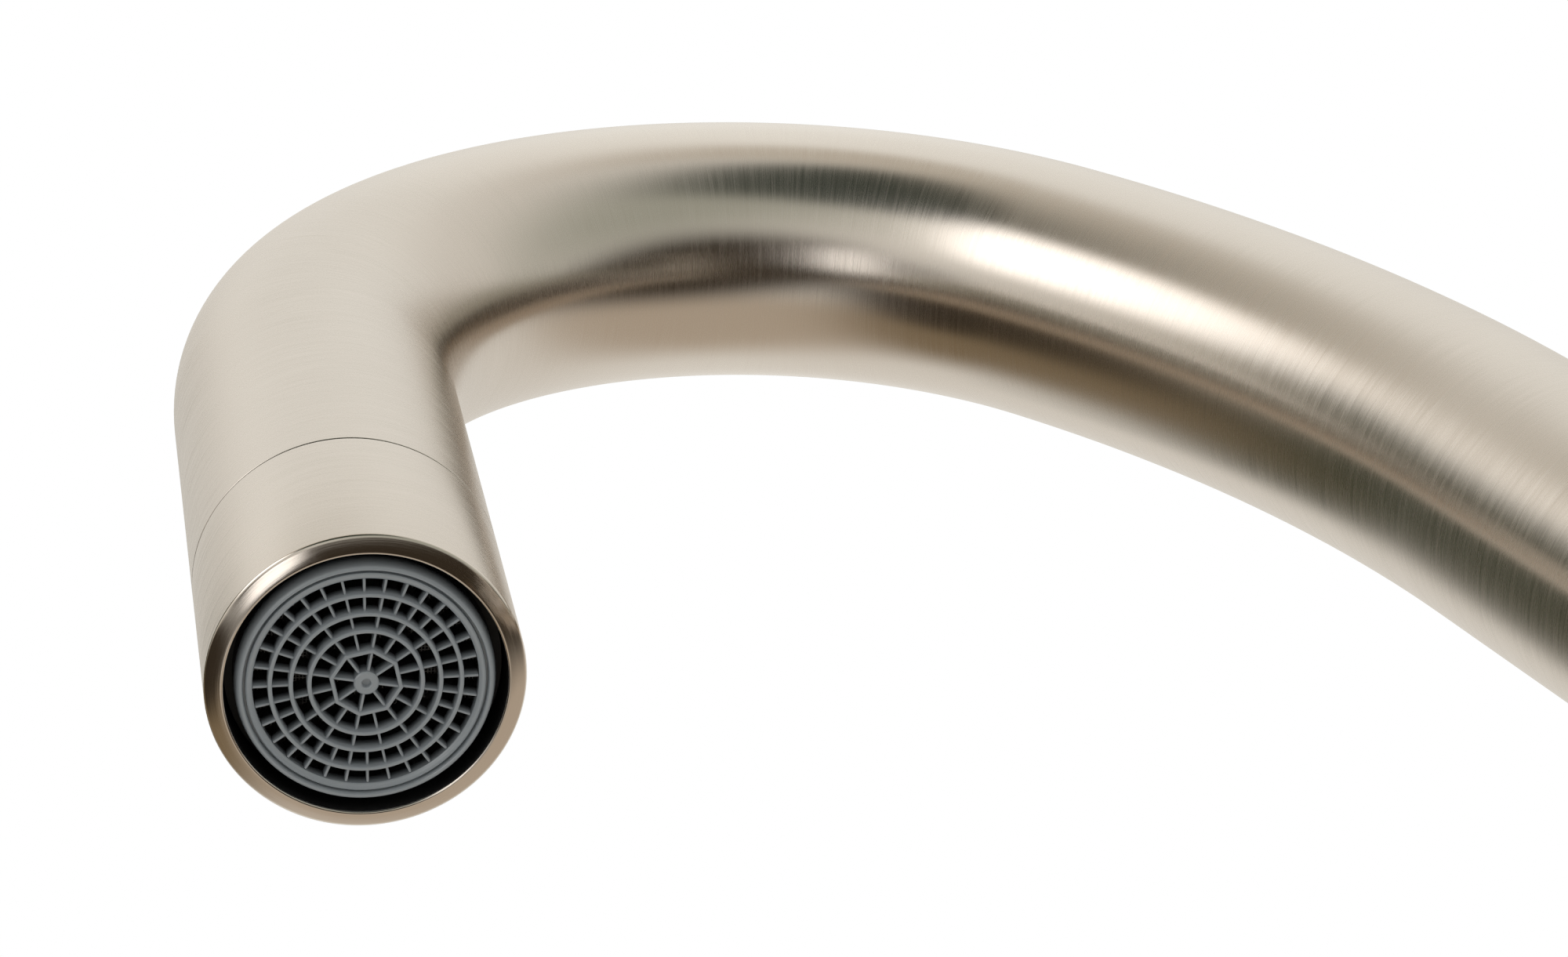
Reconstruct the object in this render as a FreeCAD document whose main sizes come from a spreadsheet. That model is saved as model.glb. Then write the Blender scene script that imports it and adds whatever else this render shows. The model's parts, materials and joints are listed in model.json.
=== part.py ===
import FreeCAD, Part
import math
import os
import re
import Sketcher
from FreeCAD import Placement, Rotation, Vector

# A pull-down kitchen faucet. The origin is on the deck, on the axis of the riser and the shank,
# +Z up, with the spout reaching towards -Y and the handle on +X. Millimetres.

doc = FreeCAD.newDocument("PullDownFaucet")
sheet = doc.addObject("Spreadsheet::Sheet", "Sizes")

driving_sizes = {
    # spout tube: vertical riser, a wide sweep, a tight bend and a straight outlet leg
    "tube_radius": 14,
    "tube_wall": 1.5,
    "riser_foot": 82,
    "riser_top": 251.4,
    "sweep_radius": 142,
    "sweep_angle": 27.3,
    "bend_radius": 48,
    "bend_angle": 136.2,
    "leg_length": 60.65,
    # pull-out wand, measured up the outlet leg from the mouth
    "wand_length": 22.2,
    "seam_gap": 0.15,
    "rim_edge": 0.2,
    "rim_shoulder": 0.8,
    "rim_shoulder_height": 0.2,
    "rim_height": 0.75,
    "mouth_radius": 12.3,
    "ledge_radius": 10.2,
    "ledge_start": 12,
    "ledge_end": 14,
    "flange_end": 20,
    "neck_radius": 9.3,
    "neck_end": 44,
    "chamber_radius": 7.4,
    "chamber_end": 27,
    "waterway_radius": 4.5,
    "hose_thread_radius": 7.2,
    "hose_thread_start": 36,
    "dock_bore": 9.6,
    "dock_end": 46,
    "dock_clearance": 0.5,
    "dock_lead": 1.5,
    "magnet_length": 4,
    "strike_thickness": 1.8,
    # aerator
    "grid_radius": 11.37,
    "grid_recess": 0.3,
    "grid_depth": 3.6,
    "grid_wall": 9.8,
    "grid_row_one": 8.5,
    "grid_row_two": 6.7,
    "grid_row_three": 5.1,
    "grid_row_four": 3.26,
    "grid_hub": 1.09,
    "grid_rib": 0.28,
    "grid_turn": 9.5,
    "case_radius": 12.1,
    "case_bore": 10.87,
    "case_end": 10.6,
    "screen_radius": 10.4,
    "screen_thickness": 0.4,
    "first_screen": 4.7,
    "second_screen": 5.9,
    "regulator_radius": 10.8,
    "regulator_bore": 1.2,
    "regulator_thickness": 2.2,
    "filter_radius": 9.7,
    "filter_rim": 0.5,
    "filter_crown": 7.2,
    "filter_shoulder": 2.3,
    "filter_height": 3,
    "seal_section": 1.2,
    # check valve in the wand's chamber
    "valve_low": 15,
    "valve_high": 25.4,
    "valve_radius": 7.3,
    "valve_bore": 6.1,
    "valve_seat_radius": 3,
    "valve_seat": 23.4,
    "poppet_radius": 4.4,
    "poppet_top": 23.2,
    "poppet_rim": 21.8,
    "poppet_stem_radius": 1,
    "poppet_low": 19.4,
    # hose and its end fittings
    "hose_radius": 6,
    "hose_bore": 4,
    "hose_lower_end": -75,
    "hose_end_start": 52,
    "nut_head_radius": 8.8,
    "nut_head_end": 50,
    "nipple_radius": 3.7,
    "nipple_bore": 2.6,
    "nipple_flange": 5.4,
    "nipple_start": 39,
    "nipple_flange_thickness": 1.5,
    "nipple_oring_radius": 4.5,
    "nipple_oring_section": 0.75,
    "nipple_oring_height": 41.4,
    "filter_washer_bore": 2,
    "filter_washer_end": 37.4,
    "nut_start": 37.5,
    "ferrule_radius": 7.2,
    "ferrule_start": 50.3,
    "ferrule_end": 60,
    "ferrule_edge": 0.6,
    # valve body
    "body_radius": 25,
    "body_foot": 6,
    "body_top": 116,
    "body_edge": 1.5,
    "body_foot_edge": 0.5,
    "hose_way": 6.6,
    "socket_radius": 16,
    "socket_floor": 80,
    "boss_height": 62,
    "boss_radius": 21,
    "boss_end": 50,
    "cavity_radius": 17.7,
    "cavity_floor": 15.5,
    "nut_bore": 19,
    "nut_bore_floor": 40.5,
    "passage_radius": 2.5,
    "cross_radius": 2.3,
    "drill_overrun": 1,
    "inlet_side": 7.4,
    "inlet_rise": 5,
    "outlet_drop": 7,
    # swivel of the spout
    "foot_radius": 15.6,
    "foot_end": 114,
    "ring_groove": 14.7,
    "ring_outer": 15.94,
    "ring_width": 4,
    "lower_ring": 86,
    "upper_ring": 107,
    "oring_section": 1.6,
    "lower_oring": 93.5,
    "upper_oring": 97.5,
    "stop_height": 102.5,
    "stop_radius": 2,
    "stop_slot": 2.3,
    "stop_hole_start": -14,
    "stop_hole_depth": 13,
    "stop_length": 9,
    "slot_width": 0.8,
    "slot_depth": 1,
    "slot_angle": 168,
    # cartridge, measured from the riser axis along the side boss
    "base_start": 15.6,
    "base_step": 19.5,
    "base_end": 20.5,
    "housing_radius": 17.4,
    "housing_bore": 15.1,
    "housing_lid": 38,
    "housing_end": 41,
    "turret_opening": 12.7,
    "disc_radius": 12.6,
    "fixed_disc_end": 23.5,
    "moving_disc_end": 27,
    "disc_carrier_end": 30.2,
    "port_radius": 2.4,
    "seal_pocket": 4.2,
    "seal_depth": 1.6,
    "seal_ring": 3.4,
    "seal_section_radius": 0.75,
    "disc_gap": 0.02,
    "fixed_disc_radius": 14.8,
    "mixing_half_height": 5.3,
    "mixing_half_width": 7.6,
    "mixing_shift": 0.75,
    "mixing_depth": 2,
    "carrier_radius": 12,
    "carrier_slot": 3,
    "turret_start": 30.6,
    "turret_radius": 14.7,
    "turret_step": 37.6,
    "turret_neck": 12.4,
    "turret_end": 43,
    "turret_slot": 7.5,
    "turret_groove": 13.5,
    "turret_groove_low": 32.9,
    "turret_groove_high": 34.5,
    "turret_oring_ring": 14.28,
    "turret_oring_section": 0.77,
    "pivot_depth": 38.5,
    "pin_radius": 1.5,
    "stem_side": 7,
    "stem_inner": 10,
    "stem_ball": 2.4,
    "stem_ball_edge": 0.8,
    "stem_waist": 2,
    "stem_waist_end": -7.6,
    "stem_core": 3.2,
    "stem_core_start": -5,
    "stem_core_end": 2,
    "stem_square_start": -3,
    "stem_outer": 37,
    "lift_angle": 25,
    "cartridge_nut_end": 48.4,
    "cartridge_nut_bore": 13.1,
    "cartridge_nut_mouth": 15.2,
    "cartridge_nut_step": 46.4,
    # handle
    "dome_radius": 23.8,
    "dome_wall": 2.6,
    "dome_opening": 10.2,
    "spigot_length": 1.5,
    "spigot_wall": 1.2,
    "hub_gap": 0.5,
    "hub_radius": 17.4,
    "hub_start": 17.8,
    "hub_end": 42,
    "hub_edge": 3,
    "rod_radius": 4.2,
    "rod_start": 6.5,
    "rod_length": 108,
    "rod_edge": 0.6,
    "rod_crown": 1.8,
    "rod_depth": 32,
    "screw_radius": 2,
    "screw_length": 8,
    "screw_socket": 0.9,
    "screw_socket_depth": 2,
    "cap_radius": 3,
    "cap_thickness": 1.6,
    "cap_recess": 0.4,
    # base, shank and fixings
    "flange_radius": 28,
    "flange_edge": 2,
    "flange_top_radius": 26,
    "gasket_recess_inner": 19.3,
    "gasket_recess_outer": 26.2,
    "gasket_inner": 19.5,
    "gasket_outer": 26,
    "gasket_thickness": 1.6,
    "shank_radius": 17,
    "shank_bore": 15.4,
    "shank_top": 20,
    "shank_end": -60,
    "deck_thickness": 30,
    "washer_radius": 27,
    "washer_bore": 17.4,
    "rubber_thickness": 3,
    "steel_thickness": 2,
    "mounting_nut_height": 10,
    "mounting_nut_radius": 26,
    "nut_screw_radius": 2.5,
    "nut_screw_pitch": 22,
    "nut_screw_length": 20,
    "nut_screw_head": 4,
    "nut_screw_head_height": 3,
    # supply and mixed water tubes
    "tail_radius": 4,
    "tail_bore": 3,
    "tail_pitch": 11.3,
    "tail_side": 8.6,
    "tail_top": 26,
    "supply_tail_end": -180,
    "fitting_radius": 7.14,
    "fitting_thread": 12,
    "fitting_collar": 7.9,
    "fitting_length": 20,
    "fitting_overhang": 2,
    "mixed_tail_end": -110,
    "quick_nipple_radius": 5.2,
    "quick_nipple_length": 24,
    "quick_sleeve": 8,
    "quick_edge": 0.8,
    "quick_groove": 4,
    "quick_groove_low": -18.6,
    "quick_groove_high": -17,
    "quick_oring_ring": 4.75,
    "quick_oring_section": 0.74,
    "guide_height": 8,
    "running_gap": 0.3,
    "fine_gap": 0.1,
    "cut_margin": 1,
    "small_edge": 1,
}

for row, (alias, number) in enumerate(driving_sizes.items(), 1):
    sheet.set(f"A{row}", str(number))
    sheet.setAlias(f"A{row}", alias)
doc.recompute()

alias_pattern = re.compile(r"\b(" + "|".join(driving_sizes) + r")\b")
sub_parts = []


def bound(expression):
    # a formula in the sheet's words, as FreeCAD reads it
    return alias_pattern.sub(r"Sizes.\1", str(expression))


def size(expression):
    # the same formula's value in millimetres or degrees
    result = sheet.evalExpression(alias_pattern.sub(r".\1", str(expression)))
    return float(getattr(result, "Value", result))


# frames that the pieces stand in: position, turning axis and angle, as formulas
total_angle = "(sweep_angle + bend_angle)"
outlet_y = (f"-sweep_radius + (sweep_radius - bend_radius) * cos(sweep_angle)"
            f" + bend_radius * cos({total_angle}) - leg_length * sin({total_angle})")
outlet_z = (f"riser_top + (sweep_radius - bend_radius) * sin(sweep_angle)"
            f" + bend_radius * sin({total_angle}) + leg_length * cos({total_angle})")
deck_frame = ("0", "0", "0", Vector(0, 0, 1), "0")
outlet_frame = ("0", outlet_y, outlet_z, Vector(1, 0, 0), f"{total_angle} - 180")
boss_frame = ("0", "0", "boss_height", Vector(0, 1, 0), "90")
stem_frame = ("pivot_depth", "0", "boss_height", Vector(0, 1, 0), "90 - lift_angle / 2")


def place(item, frame):
    x, y, z, axis, angle = frame
    item.Placement = Placement(Vector(0, 0, 0), Rotation(axis, 1))
    for path, expression in (("Base.x", x), ("Base.y", y), ("Base.z", z), ("Rotation.Angle", angle)):
        item.setExpression("Placement." + path, bound(expression))


def add_body(label, frame):
    body = doc.addObject("PartDesign::Body", label)
    body.Label = label
    place(body, frame)
    sub_parts.append(body)
    return body


def constrain(sketch, kind, *where, expression):
    index = sketch.addConstraint(Sketcher.Constraint(kind, *where, size(expression)))
    sketch.setExpression(f"Constraints[{index}]", bound(expression))


def fix_point(sketch, geometry, end, x, y):
    # holds a point at (x, y) from the sketch's origin
    if str(x) == "0":
        sketch.addConstraint(Sketcher.Constraint("PointOnObject", geometry, end, -2))
    else:
        constrain(sketch, "DistanceX", -1, 1, geometry, end, expression=x)
    if str(y) == "0":
        sketch.addConstraint(Sketcher.Constraint("PointOnObject", geometry, end, -1))
    else:
        constrain(sketch, "DistanceY", -1, 1, geometry, end, expression=y)


def add_sketch(body, plane="XY_Plane", offset="0"):
    sketch = body.newObject("Sketcher::SketchObject", body.Label + "_sketch")
    origin_plane = next(item for item in body.Origin.OriginFeatures if item.Role == plane)
    sketch.AttachmentSupport = [(origin_plane, "")]
    sketch.MapMode = "FlatFace"
    sketch.setExpression("AttachmentOffset.Base.z", bound(offset))
    return sketch


def draw_outline(sketch, points):
    start = sketch.GeometryCount
    corners = [Vector(size(x), size(y), 0) for x, y in points]
    for first, second in zip(corners, corners[1:] + corners[:1]):
        sketch.addGeometry(Part.LineSegment(first, second), False)
    for index, (x, y) in enumerate(points):
        following = (index + 1) % len(points)
        sketch.addConstraint(Sketcher.Constraint("Coincident", start + index, 2, start + following, 1))
        fix_point(sketch, start + index, 1, x, y)


def draw_circle(sketch, radius, x="0", y="0"):
    index = sketch.addGeometry(Part.Circle(Vector(size(x), size(y), 0), Vector(0, 0, 1), size(radius)), False)
    fix_point(sketch, index, 3, x, y)
    constrain(sketch, "Radius", index, expression=radius)


def draw_rectangle(sketch, half_width, half_height, x="0", y="0"):
    left, right = f"{x} - ({half_width})", f"{x} + ({half_width})"
    low, high = f"{y} - ({half_height})", f"{y} + ({half_height})"
    draw_outline(sketch, [(left, low), (right, low), (right, high), (left, high)])


def add_feature(body, kind, sketch, **lengths):
    feature = body.newObject("PartDesign::" + kind, f"{body.Label}_{kind}".lower())
    feature.Profile = sketch
    for name, expression in lengths.items():
        feature.setExpression(name, bound(expression))
    return feature


def spin(body, sketch, kind, angle="360"):
    feature = add_feature(body, kind, sketch, Angle=angle)
    feature.ReferenceAxis = (sketch, ["V_Axis"])
    return feature


def turn(body, points, kind="Revolution", angle="360", plane="XZ_Plane"):
    # a Revolution or a Groove about the body's own Z, drawn as (radius, height)
    sketch = add_sketch(body, plane)
    draw_outline(sketch, points)
    return spin(body, sketch, kind, angle)


def turn_ball(body, radius, kind):
    # a ball about the body's own origin, added or taken away
    sketch = add_sketch(body, "XZ_Plane")
    circle = Part.Circle(Vector(0, 0, 0), Vector(0, 0, 1), size(radius))
    sketch.addGeometry(Part.ArcOfCircle(circle, -math.pi / 2, math.pi / 2), False)
    sketch.addGeometry(Part.LineSegment(Vector(0, size(radius), 0), Vector(0, -size(radius), 0)), False)
    sketch.addConstraint(Sketcher.Constraint("Coincident", 0, 3, -1, 1))
    sketch.addConstraint(Sketcher.Constraint("Coincident", 0, 2, 1, 1))
    sketch.addConstraint(Sketcher.Constraint("Coincident", 0, 1, 1, 2))
    sketch.addConstraint(Sketcher.Constraint("PointOnObject", 0, 1, -2))
    sketch.addConstraint(Sketcher.Constraint("PointOnObject", 0, 2, -2))
    constrain(sketch, "Radius", 0, expression=radius)
    spin(body, sketch, kind)


def turned(label, points, frame=deck_frame):
    body = add_body(label, frame)
    turn(body, points)
    return body


def ring(label, inner, outer, low, high, frame=deck_frame):
    return turned(label, [(inner, low), (outer, low), (outer, high), (inner, high)], frame)


def bore(body, radius, depth, offset, x="0", y="0", plane="XY_Plane"):
    # a round hole that runs against the plane's normal from the offset
    sketch = add_sketch(body, plane, offset)
    draw_circle(sketch, radius, x, y)
    return add_feature(body, "Pocket", sketch, Length=depth)


def cut_box(body, half_width, half_height, depth, offset, x="0", y="0", plane="XY_Plane"):
    sketch = add_sketch(body, plane, offset)
    draw_rectangle(sketch, half_width, half_height, x, y)
    return add_feature(body, "Pocket", sketch, Length=depth)


def primitive(kind, name, x="0", y="0", z="0", **lengths):
    item = doc.addObject("Part::" + kind, name)
    for prop, expression in lengths.items():
        item.setExpression(prop, bound(expression))
    place(item, (x, y, z, Vector(0, 0, 1), "0"))
    return item


def group(label, members, frame=deck_frame):
    # separate solids of one kind, drawn in the frame's own axes
    compound = doc.addObject("Part::Compound", label)
    compound.Label = label
    compound.Links = members
    place(compound, frame)
    sub_parts.append(compound)


def orings(label, frame, ring_radius, section_radius, *centres):
    group(label, [primitive("Torus", f"{label}_{index}", x, y, z, Radius1=ring_radius, Radius2=section_radius)
                  for index, (x, y, z) in enumerate(centres)], frame)


# ---- spout: the bent tube, its swivel foot and the dock ----

def draw_route(body, foot, leg):
    # the tube's centre line in the body's YZ plane: riser, sweep, bend and, if given, the outlet leg
    sketch = add_sketch(body, "YZ_Plane")
    sweep_radius, bend_radius = size("sweep_radius"), size("bend_radius")
    sweep_angle, end_angle = math.radians(size("sweep_angle")), math.radians(size(total_angle))
    top = size("riser_top")
    sweep_centre = Vector(-sweep_radius, top, 0)
    outward = Vector(math.cos(sweep_angle), math.sin(sweep_angle), 0)
    bend_centre = sweep_centre + outward * (sweep_radius - bend_radius)
    sketch.addGeometry(Part.LineSegment(Vector(0, size(foot), 0), Vector(0, top, 0)), False)
    sweep = Part.Circle(sweep_centre, Vector(0, 0, 1), sweep_radius)
    sketch.addGeometry(Part.ArcOfCircle(sweep, 0, sweep_angle), False)
    bend = Part.Circle(bend_centre, Vector(0, 0, 1), bend_radius)
    sketch.addGeometry(Part.ArcOfCircle(bend, sweep_angle, end_angle), False)
    if leg:
        leg_start = bend_centre + Vector(math.cos(end_angle), math.sin(end_angle), 0) * bend_radius
        along = Vector(-math.sin(end_angle), math.cos(end_angle), 0) * size(leg)
        sketch.addGeometry(Part.LineSegment(leg_start, leg_start + along), False)
    fix_point(sketch, 0, 1, "0", foot)
    fix_point(sketch, 0, 2, "0", "riser_top")
    for index in range(sketch.GeometryCount - 1):
        sketch.addConstraint(Sketcher.Constraint("Tangent", index, 2, index + 1, 1))
    for index, name in ((1, "sweep"), (2, "bend")):
        constrain(sketch, "Radius", index, expression=name + "_radius")
        angle = sketch.addConstraint(Sketcher.Constraint("Angle", index, math.radians(size(name + "_angle"))))
        sketch.setExpression(f"Constraints[{angle}]", bound(name + "_angle"))
    if leg:
        constrain(sketch, "Distance", 3, expression=leg)
    return sketch


def piped(label, outer, inner, foot, leg=None):
    body = add_body(label, deck_frame)
    route = draw_route(body, foot, leg)
    section = add_sketch(body, "XY_Plane", foot)
    draw_circle(section, outer)
    draw_circle(section, inner)
    pipe = add_feature(body, "AdditivePipe", section)
    pipe.Spine = (route, [f"Edge{index + 1}" for index in range(route.GeometryCount)])


piped("spout_tube", "tube_radius", "tube_radius - tube_wall", "riser_foot", "leg_length - wand_length")

def groove(body, radius, outside, low, high):
    # a full ring groove down to a radius
    turn(body, [(radius, low), (f"{outside} + cut_margin", low),
                (f"{outside} + cut_margin", high), (radius, high)], "Groove")


foot = ring("spout_foot", "tube_radius", "foot_radius", "riser_foot", "foot_end")
for low in ("lower_ring", "upper_ring"):
    groove(foot, "ring_groove", "foot_radius", low, f"{low} + ring_width")
for middle in ("lower_oring", "upper_oring"):
    groove(foot, "ring_outer - oring_section", "foot_radius",
           f"{middle} - oring_section / 2", f"{middle} + oring_section / 2")
# the stop slot faces the screw at the back and is long enough for the swing
slot_low, slot_high = "stop_height - stop_slot", "stop_height + stop_slot"
stop_slot = turn(foot, [("ring_groove", slot_low), ("foot_radius + cut_margin", slot_low),
                        ("foot_radius + cut_margin", slot_high), ("ring_groove", slot_high)],
                 "Groove", "slot_angle", "YZ_Plane")
stop_slot.Midplane = True

glide_members = []
for index, low in enumerate(("lower_ring", "upper_ring")):
    glide = doc.addObject("Part::Cut", f"glide_ring_{index}")
    glide.Base = primitive("Cylinder", f"glide_outer_{index}", z=low, Radius="ring_outer", Height="ring_width")
    glide.Tool = primitive("Cylinder", f"glide_inner_{index}", z=low, Radius="ring_groove", Height="ring_width")
    glide_members.append(glide)
group("glide_rings", glide_members)
orings("swivel_orings", deck_frame, "ring_outer - oring_section / 2", "oring_section / 2",
       ("0", "0", "lower_oring"), ("0", "0", "upper_oring"))

tube_bore = "tube_radius - tube_wall"
magnet_start = "wand_length + dock_clearance"
magnet_end = f"{magnet_start} + magnet_length"
ring("dock_magnet", "dock_bore", tube_bore, magnet_start, magnet_end, outlet_frame)
turned("dock_sleeve", [
    ("dock_bore", magnet_end),
    (tube_bore, magnet_end),
    (tube_bore, "dock_end"),
    ("dock_bore + dock_lead", "dock_end"),
    ("dock_bore", "dock_end - dock_lead"),
], outlet_frame)

piped("pull_hose", "hose_radius", "hose_bore", "hose_lower_end")


# ---- wand: shell, waterway and the aerator in its mouth ----

shell_top = "wand_length - seam_gap"
turned("wand_shell", [
    ("mouth_radius", "ledge_start"),
    ("mouth_radius", "rim_edge"),
    ("mouth_radius + rim_edge", "0"),
    ("tube_radius - rim_shoulder", "rim_shoulder_height"),
    ("tube_radius", "rim_height"),
    ("tube_radius", shell_top),
    ("mouth_radius", shell_top),
    ("mouth_radius", "ledge_end"),
    ("ledge_radius", "ledge_end"),
    ("ledge_radius", "ledge_start"),
], outlet_frame)

turned("wand_core", [
    ("chamber_radius", "ledge_end"),
    ("mouth_radius", "ledge_end"),
    ("mouth_radius", "flange_end"),
    ("neck_radius", "flange_end"),
    ("neck_radius", "neck_end - small_edge"),
    ("neck_radius - small_edge", "neck_end"),
    ("hose_thread_radius", "neck_end"),
    ("hose_thread_radius", "hose_thread_start"),
    ("waterway_radius", "hose_thread_start"),
    ("waterway_radius", "chamber_end"),
    ("chamber_radius", "chamber_end"),
], outlet_frame)

ring("strike_ring", "neck_radius", "mouth_radius", "flange_end", "flange_end + strike_thickness", outlet_frame)


def outlet_placement():
    x, y, z, axis, angle = outlet_frame
    return Placement(Vector(size(x), size(y), size(z)), Rotation(axis, size(angle)))


def grid_shape():
    # a moulded jet former: ring walls joined by rows of ribs, eight spokes inside an octagonal wall
    low, depth, rib = size("grid_recess"), size("grid_depth"), size("grid_rib")
    walls = [size(name) for name in ("grid_hub", "grid_row_four", "grid_row_three",
                                     "grid_row_two", "grid_row_one", "grid_wall")]
    solid = Part.makeCylinder(size("grid_radius"), depth, Vector(0, 0, low))
    for inner, outer, count in zip(walls, walls[1:], (8, 16, 16, 32, 32)):
        if count == 8:
            corners = [Vector((outer - rib) * math.cos(turn_angle), (outer - rib) * math.sin(turn_angle), low)
                       for turn_angle in (index * math.pi / 4 for index in range(9))]
            void = Part.Face(Part.makePolygon(corners)).extrude(Vector(0, 0, depth))
        else:
            void = Part.makeCylinder(outer - (rib if outer < walls[-1] else 0), depth, Vector(0, 0, low))
        void = void.cut(Part.makeCylinder(inner, depth, Vector(0, 0, low)))
        ribs = []
        for index in range(count):
            spoke = Part.makeBox(outer + 1, rib, depth, Vector(0, -rib / 2, low))
            spoke.rotate(Vector(0, 0, 0), Vector(0, 0, 1), index * 360 / count)
            ribs.append(spoke)
        solid = solid.cut(void.cut(ribs))
    solid.rotate(Vector(0, 0, 0), Vector(0, 0, 1), size("grid_turn"))
    return solid


grid = doc.addObject("Part::Feature", "aerator_grid")
grid.Shape = grid_shape()
grid.Placement = outlet_placement()
sub_parts.append(grid)

ring("aerator_case", "case_bore", "case_radius", "grid_recess + grid_depth", "case_end", outlet_frame)

group("aerator_screens", [primitive("Cylinder", f"aerator_{low}", z=low, Radius="screen_radius",
                                    Height="screen_thickness")
                          for low in ("first_screen", "second_screen")], outlet_frame)
ring("flow_regulator", "regulator_bore", "regulator_radius", "case_end - regulator_thickness", "case_end",
     outlet_frame)
filter_start = "case_end + fine_gap"
turned("aerator_filter", [
    ("0", filter_start),
    ("filter_radius", filter_start),
    ("filter_radius", f"{filter_start} + filter_rim"),
    ("filter_crown", f"{filter_start} + filter_shoulder"),
    ("0", f"{filter_start} + filter_height"),
], outlet_frame)
ring("aerator_seal", "ledge_radius", "case_radius", "ledge_start - seal_section", "ledge_start", outlet_frame)

# check valve: a flanged cup with a seat, and the poppet that lifts off it
turned("check_valve_case", [
    ("valve_bore", "valve_low"),
    ("valve_radius", "valve_low"),
    ("valve_radius", "valve_high"),
    ("valve_seat_radius", "valve_high"),
    ("valve_seat_radius", "valve_seat"),
    ("valve_bore", "valve_seat"),
], outlet_frame)
turned("check_valve_poppet", [
    ("0", "poppet_low"),
    ("poppet_stem_radius", "poppet_low"),
    ("poppet_stem_radius", "poppet_rim"),
    ("poppet_radius", "poppet_rim"),
    ("poppet_radius", "poppet_top"),
    ("0", "poppet_top"),
], outlet_frame)
ring("filter_washer", "filter_washer_bore", "valve_radius - fine_gap", "hose_thread_start", "filter_washer_end",
     outlet_frame)


# ---- hose end: swivel nut, nipple, ferrule and the straight stretch of hose ----

turned("hose_nut", [
    ("nipple_flange + running_gap", "nut_start"),
    ("hose_thread_radius", "nut_start"),
    ("hose_thread_radius", "neck_end"),
    ("nut_head_radius", "neck_end"),
    ("nut_head_radius", "nut_head_end - small_edge"),
    ("nut_head_radius - small_edge", "nut_head_end"),
    ("nipple_radius + running_gap", "nut_head_end"),
    ("nipple_radius + running_gap", "neck_end - small_edge"),
    ("nipple_flange + running_gap", "neck_end - small_edge"),
], outlet_frame)
turned("hose_nipple", [
    ("nipple_bore", "nipple_start"),
    ("nipple_flange", "nipple_start"),
    ("nipple_flange", "nipple_start + nipple_flange_thickness"),
    ("nipple_radius", "nipple_start + nipple_flange_thickness"),
    ("nipple_radius", "ferrule_end"),
    ("nipple_bore", "ferrule_end"),
], outlet_frame)
orings("nipple_oring", outlet_frame, "nipple_oring_radius", "nipple_oring_section",
       ("0", "0", "nipple_oring_height"))
turned("hose_ferrule", [
    ("nipple_radius", "ferrule_start"),
    ("ferrule_radius - ferrule_edge", "ferrule_start"),
    ("ferrule_radius", "ferrule_start + ferrule_edge"),
    ("ferrule_radius", "ferrule_end - ferrule_edge"),
    ("ferrule_radius - ferrule_edge", "ferrule_end"),
    ("hose_radius", "ferrule_end"),
    ("hose_radius", "hose_end_start"),
    ("nipple_radius", "hose_end_start"),
], outlet_frame)
ring("hose_end", "nipple_radius + fine_gap", "hose_radius", "hose_end_start", "leg_length - running_gap",
     outlet_frame)


# ---- valve body with its side boss and waterways ----

valve_body = turned("valve_body", [
    ("0", "body_foot"),
    ("body_radius - body_foot_edge", "body_foot"),
    ("body_radius", "body_foot + body_foot_edge"),
    ("body_radius", "body_top - body_edge"),
    ("body_radius - body_edge", "body_top"),
    ("0", "body_top"),
])
boss_sketch = add_sketch(valve_body, "YZ_Plane")
draw_circle(boss_sketch, "boss_radius", "0", "boss_height")
add_feature(valve_body, "Pad", boss_sketch, Length="boss_end")
bore(valve_body, "shank_radius", "shank_top - body_foot", "shank_top")
bore(valve_body, "hose_way", "body_top - body_foot", "body_top")
bore(valve_body, "socket_radius", "body_top - socket_floor", "body_top")
bore(valve_body, "cavity_radius", "boss_end - cavity_floor", "boss_end", y="boss_height", plane="YZ_Plane")
bore(valve_body, "nut_bore", "boss_end - nut_bore_floor", "boss_end", y="boss_height", plane="YZ_Plane")
tail_depth = "sqrt(tail_pitch * tail_pitch - tail_side * tail_side)"
tail_places = {
    "hot_tail": (tail_depth, "0 - tail_side", "boss_height + inlet_rise", "0 - inlet_side"),
    "cold_tail": (tail_depth, "tail_side", "boss_height + inlet_rise", "inlet_side"),
    "mixed_tail": ("tail_pitch", "0", "boss_height - outlet_drop", "0"),
}
for tail_x, tail_y, port_height, port_side in tail_places.values():
    bore(valve_body, "tail_radius", "tail_top - shank_top", "tail_top", tail_x, tail_y)
    bore(valve_body, "passage_radius", f"{port_height} + passage_radius + drill_overrun - tail_top",
         f"{port_height} + passage_radius + drill_overrun", tail_x, tail_y)
    bore(valve_body, "cross_radius", f"cavity_floor - {tail_x} + drill_overrun", "cavity_floor",
         port_side, port_height, "YZ_Plane")
bore(valve_body, "stop_radius", "stop_hole_depth", "stop_hole_start", y="stop_height", plane="XZ_Plane")

stop_frame = ("0", "ring_groove + running_gap", "stop_height", Vector(1, 0, 0), "-90")
stop_screw = turned("spout_stop_screw", [("0", "0"), ("stop_radius", "0"), ("stop_radius", "stop_length"),
                                         ("0", "stop_length")], stop_frame)
cut_box(stop_screw, "slot_width / 2", "stop_radius + cut_margin", "slot_depth", "stop_length")


# ---- cartridge in the side boss, drawn along the boss axis from the riser axis ----
# In this frame +x is down and +y is the back of the faucet.

ports = (("0 - inlet_rise", "0 - inlet_side"), ("0 - inlet_rise", "inlet_side"), ("outlet_drop", "0"))

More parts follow.
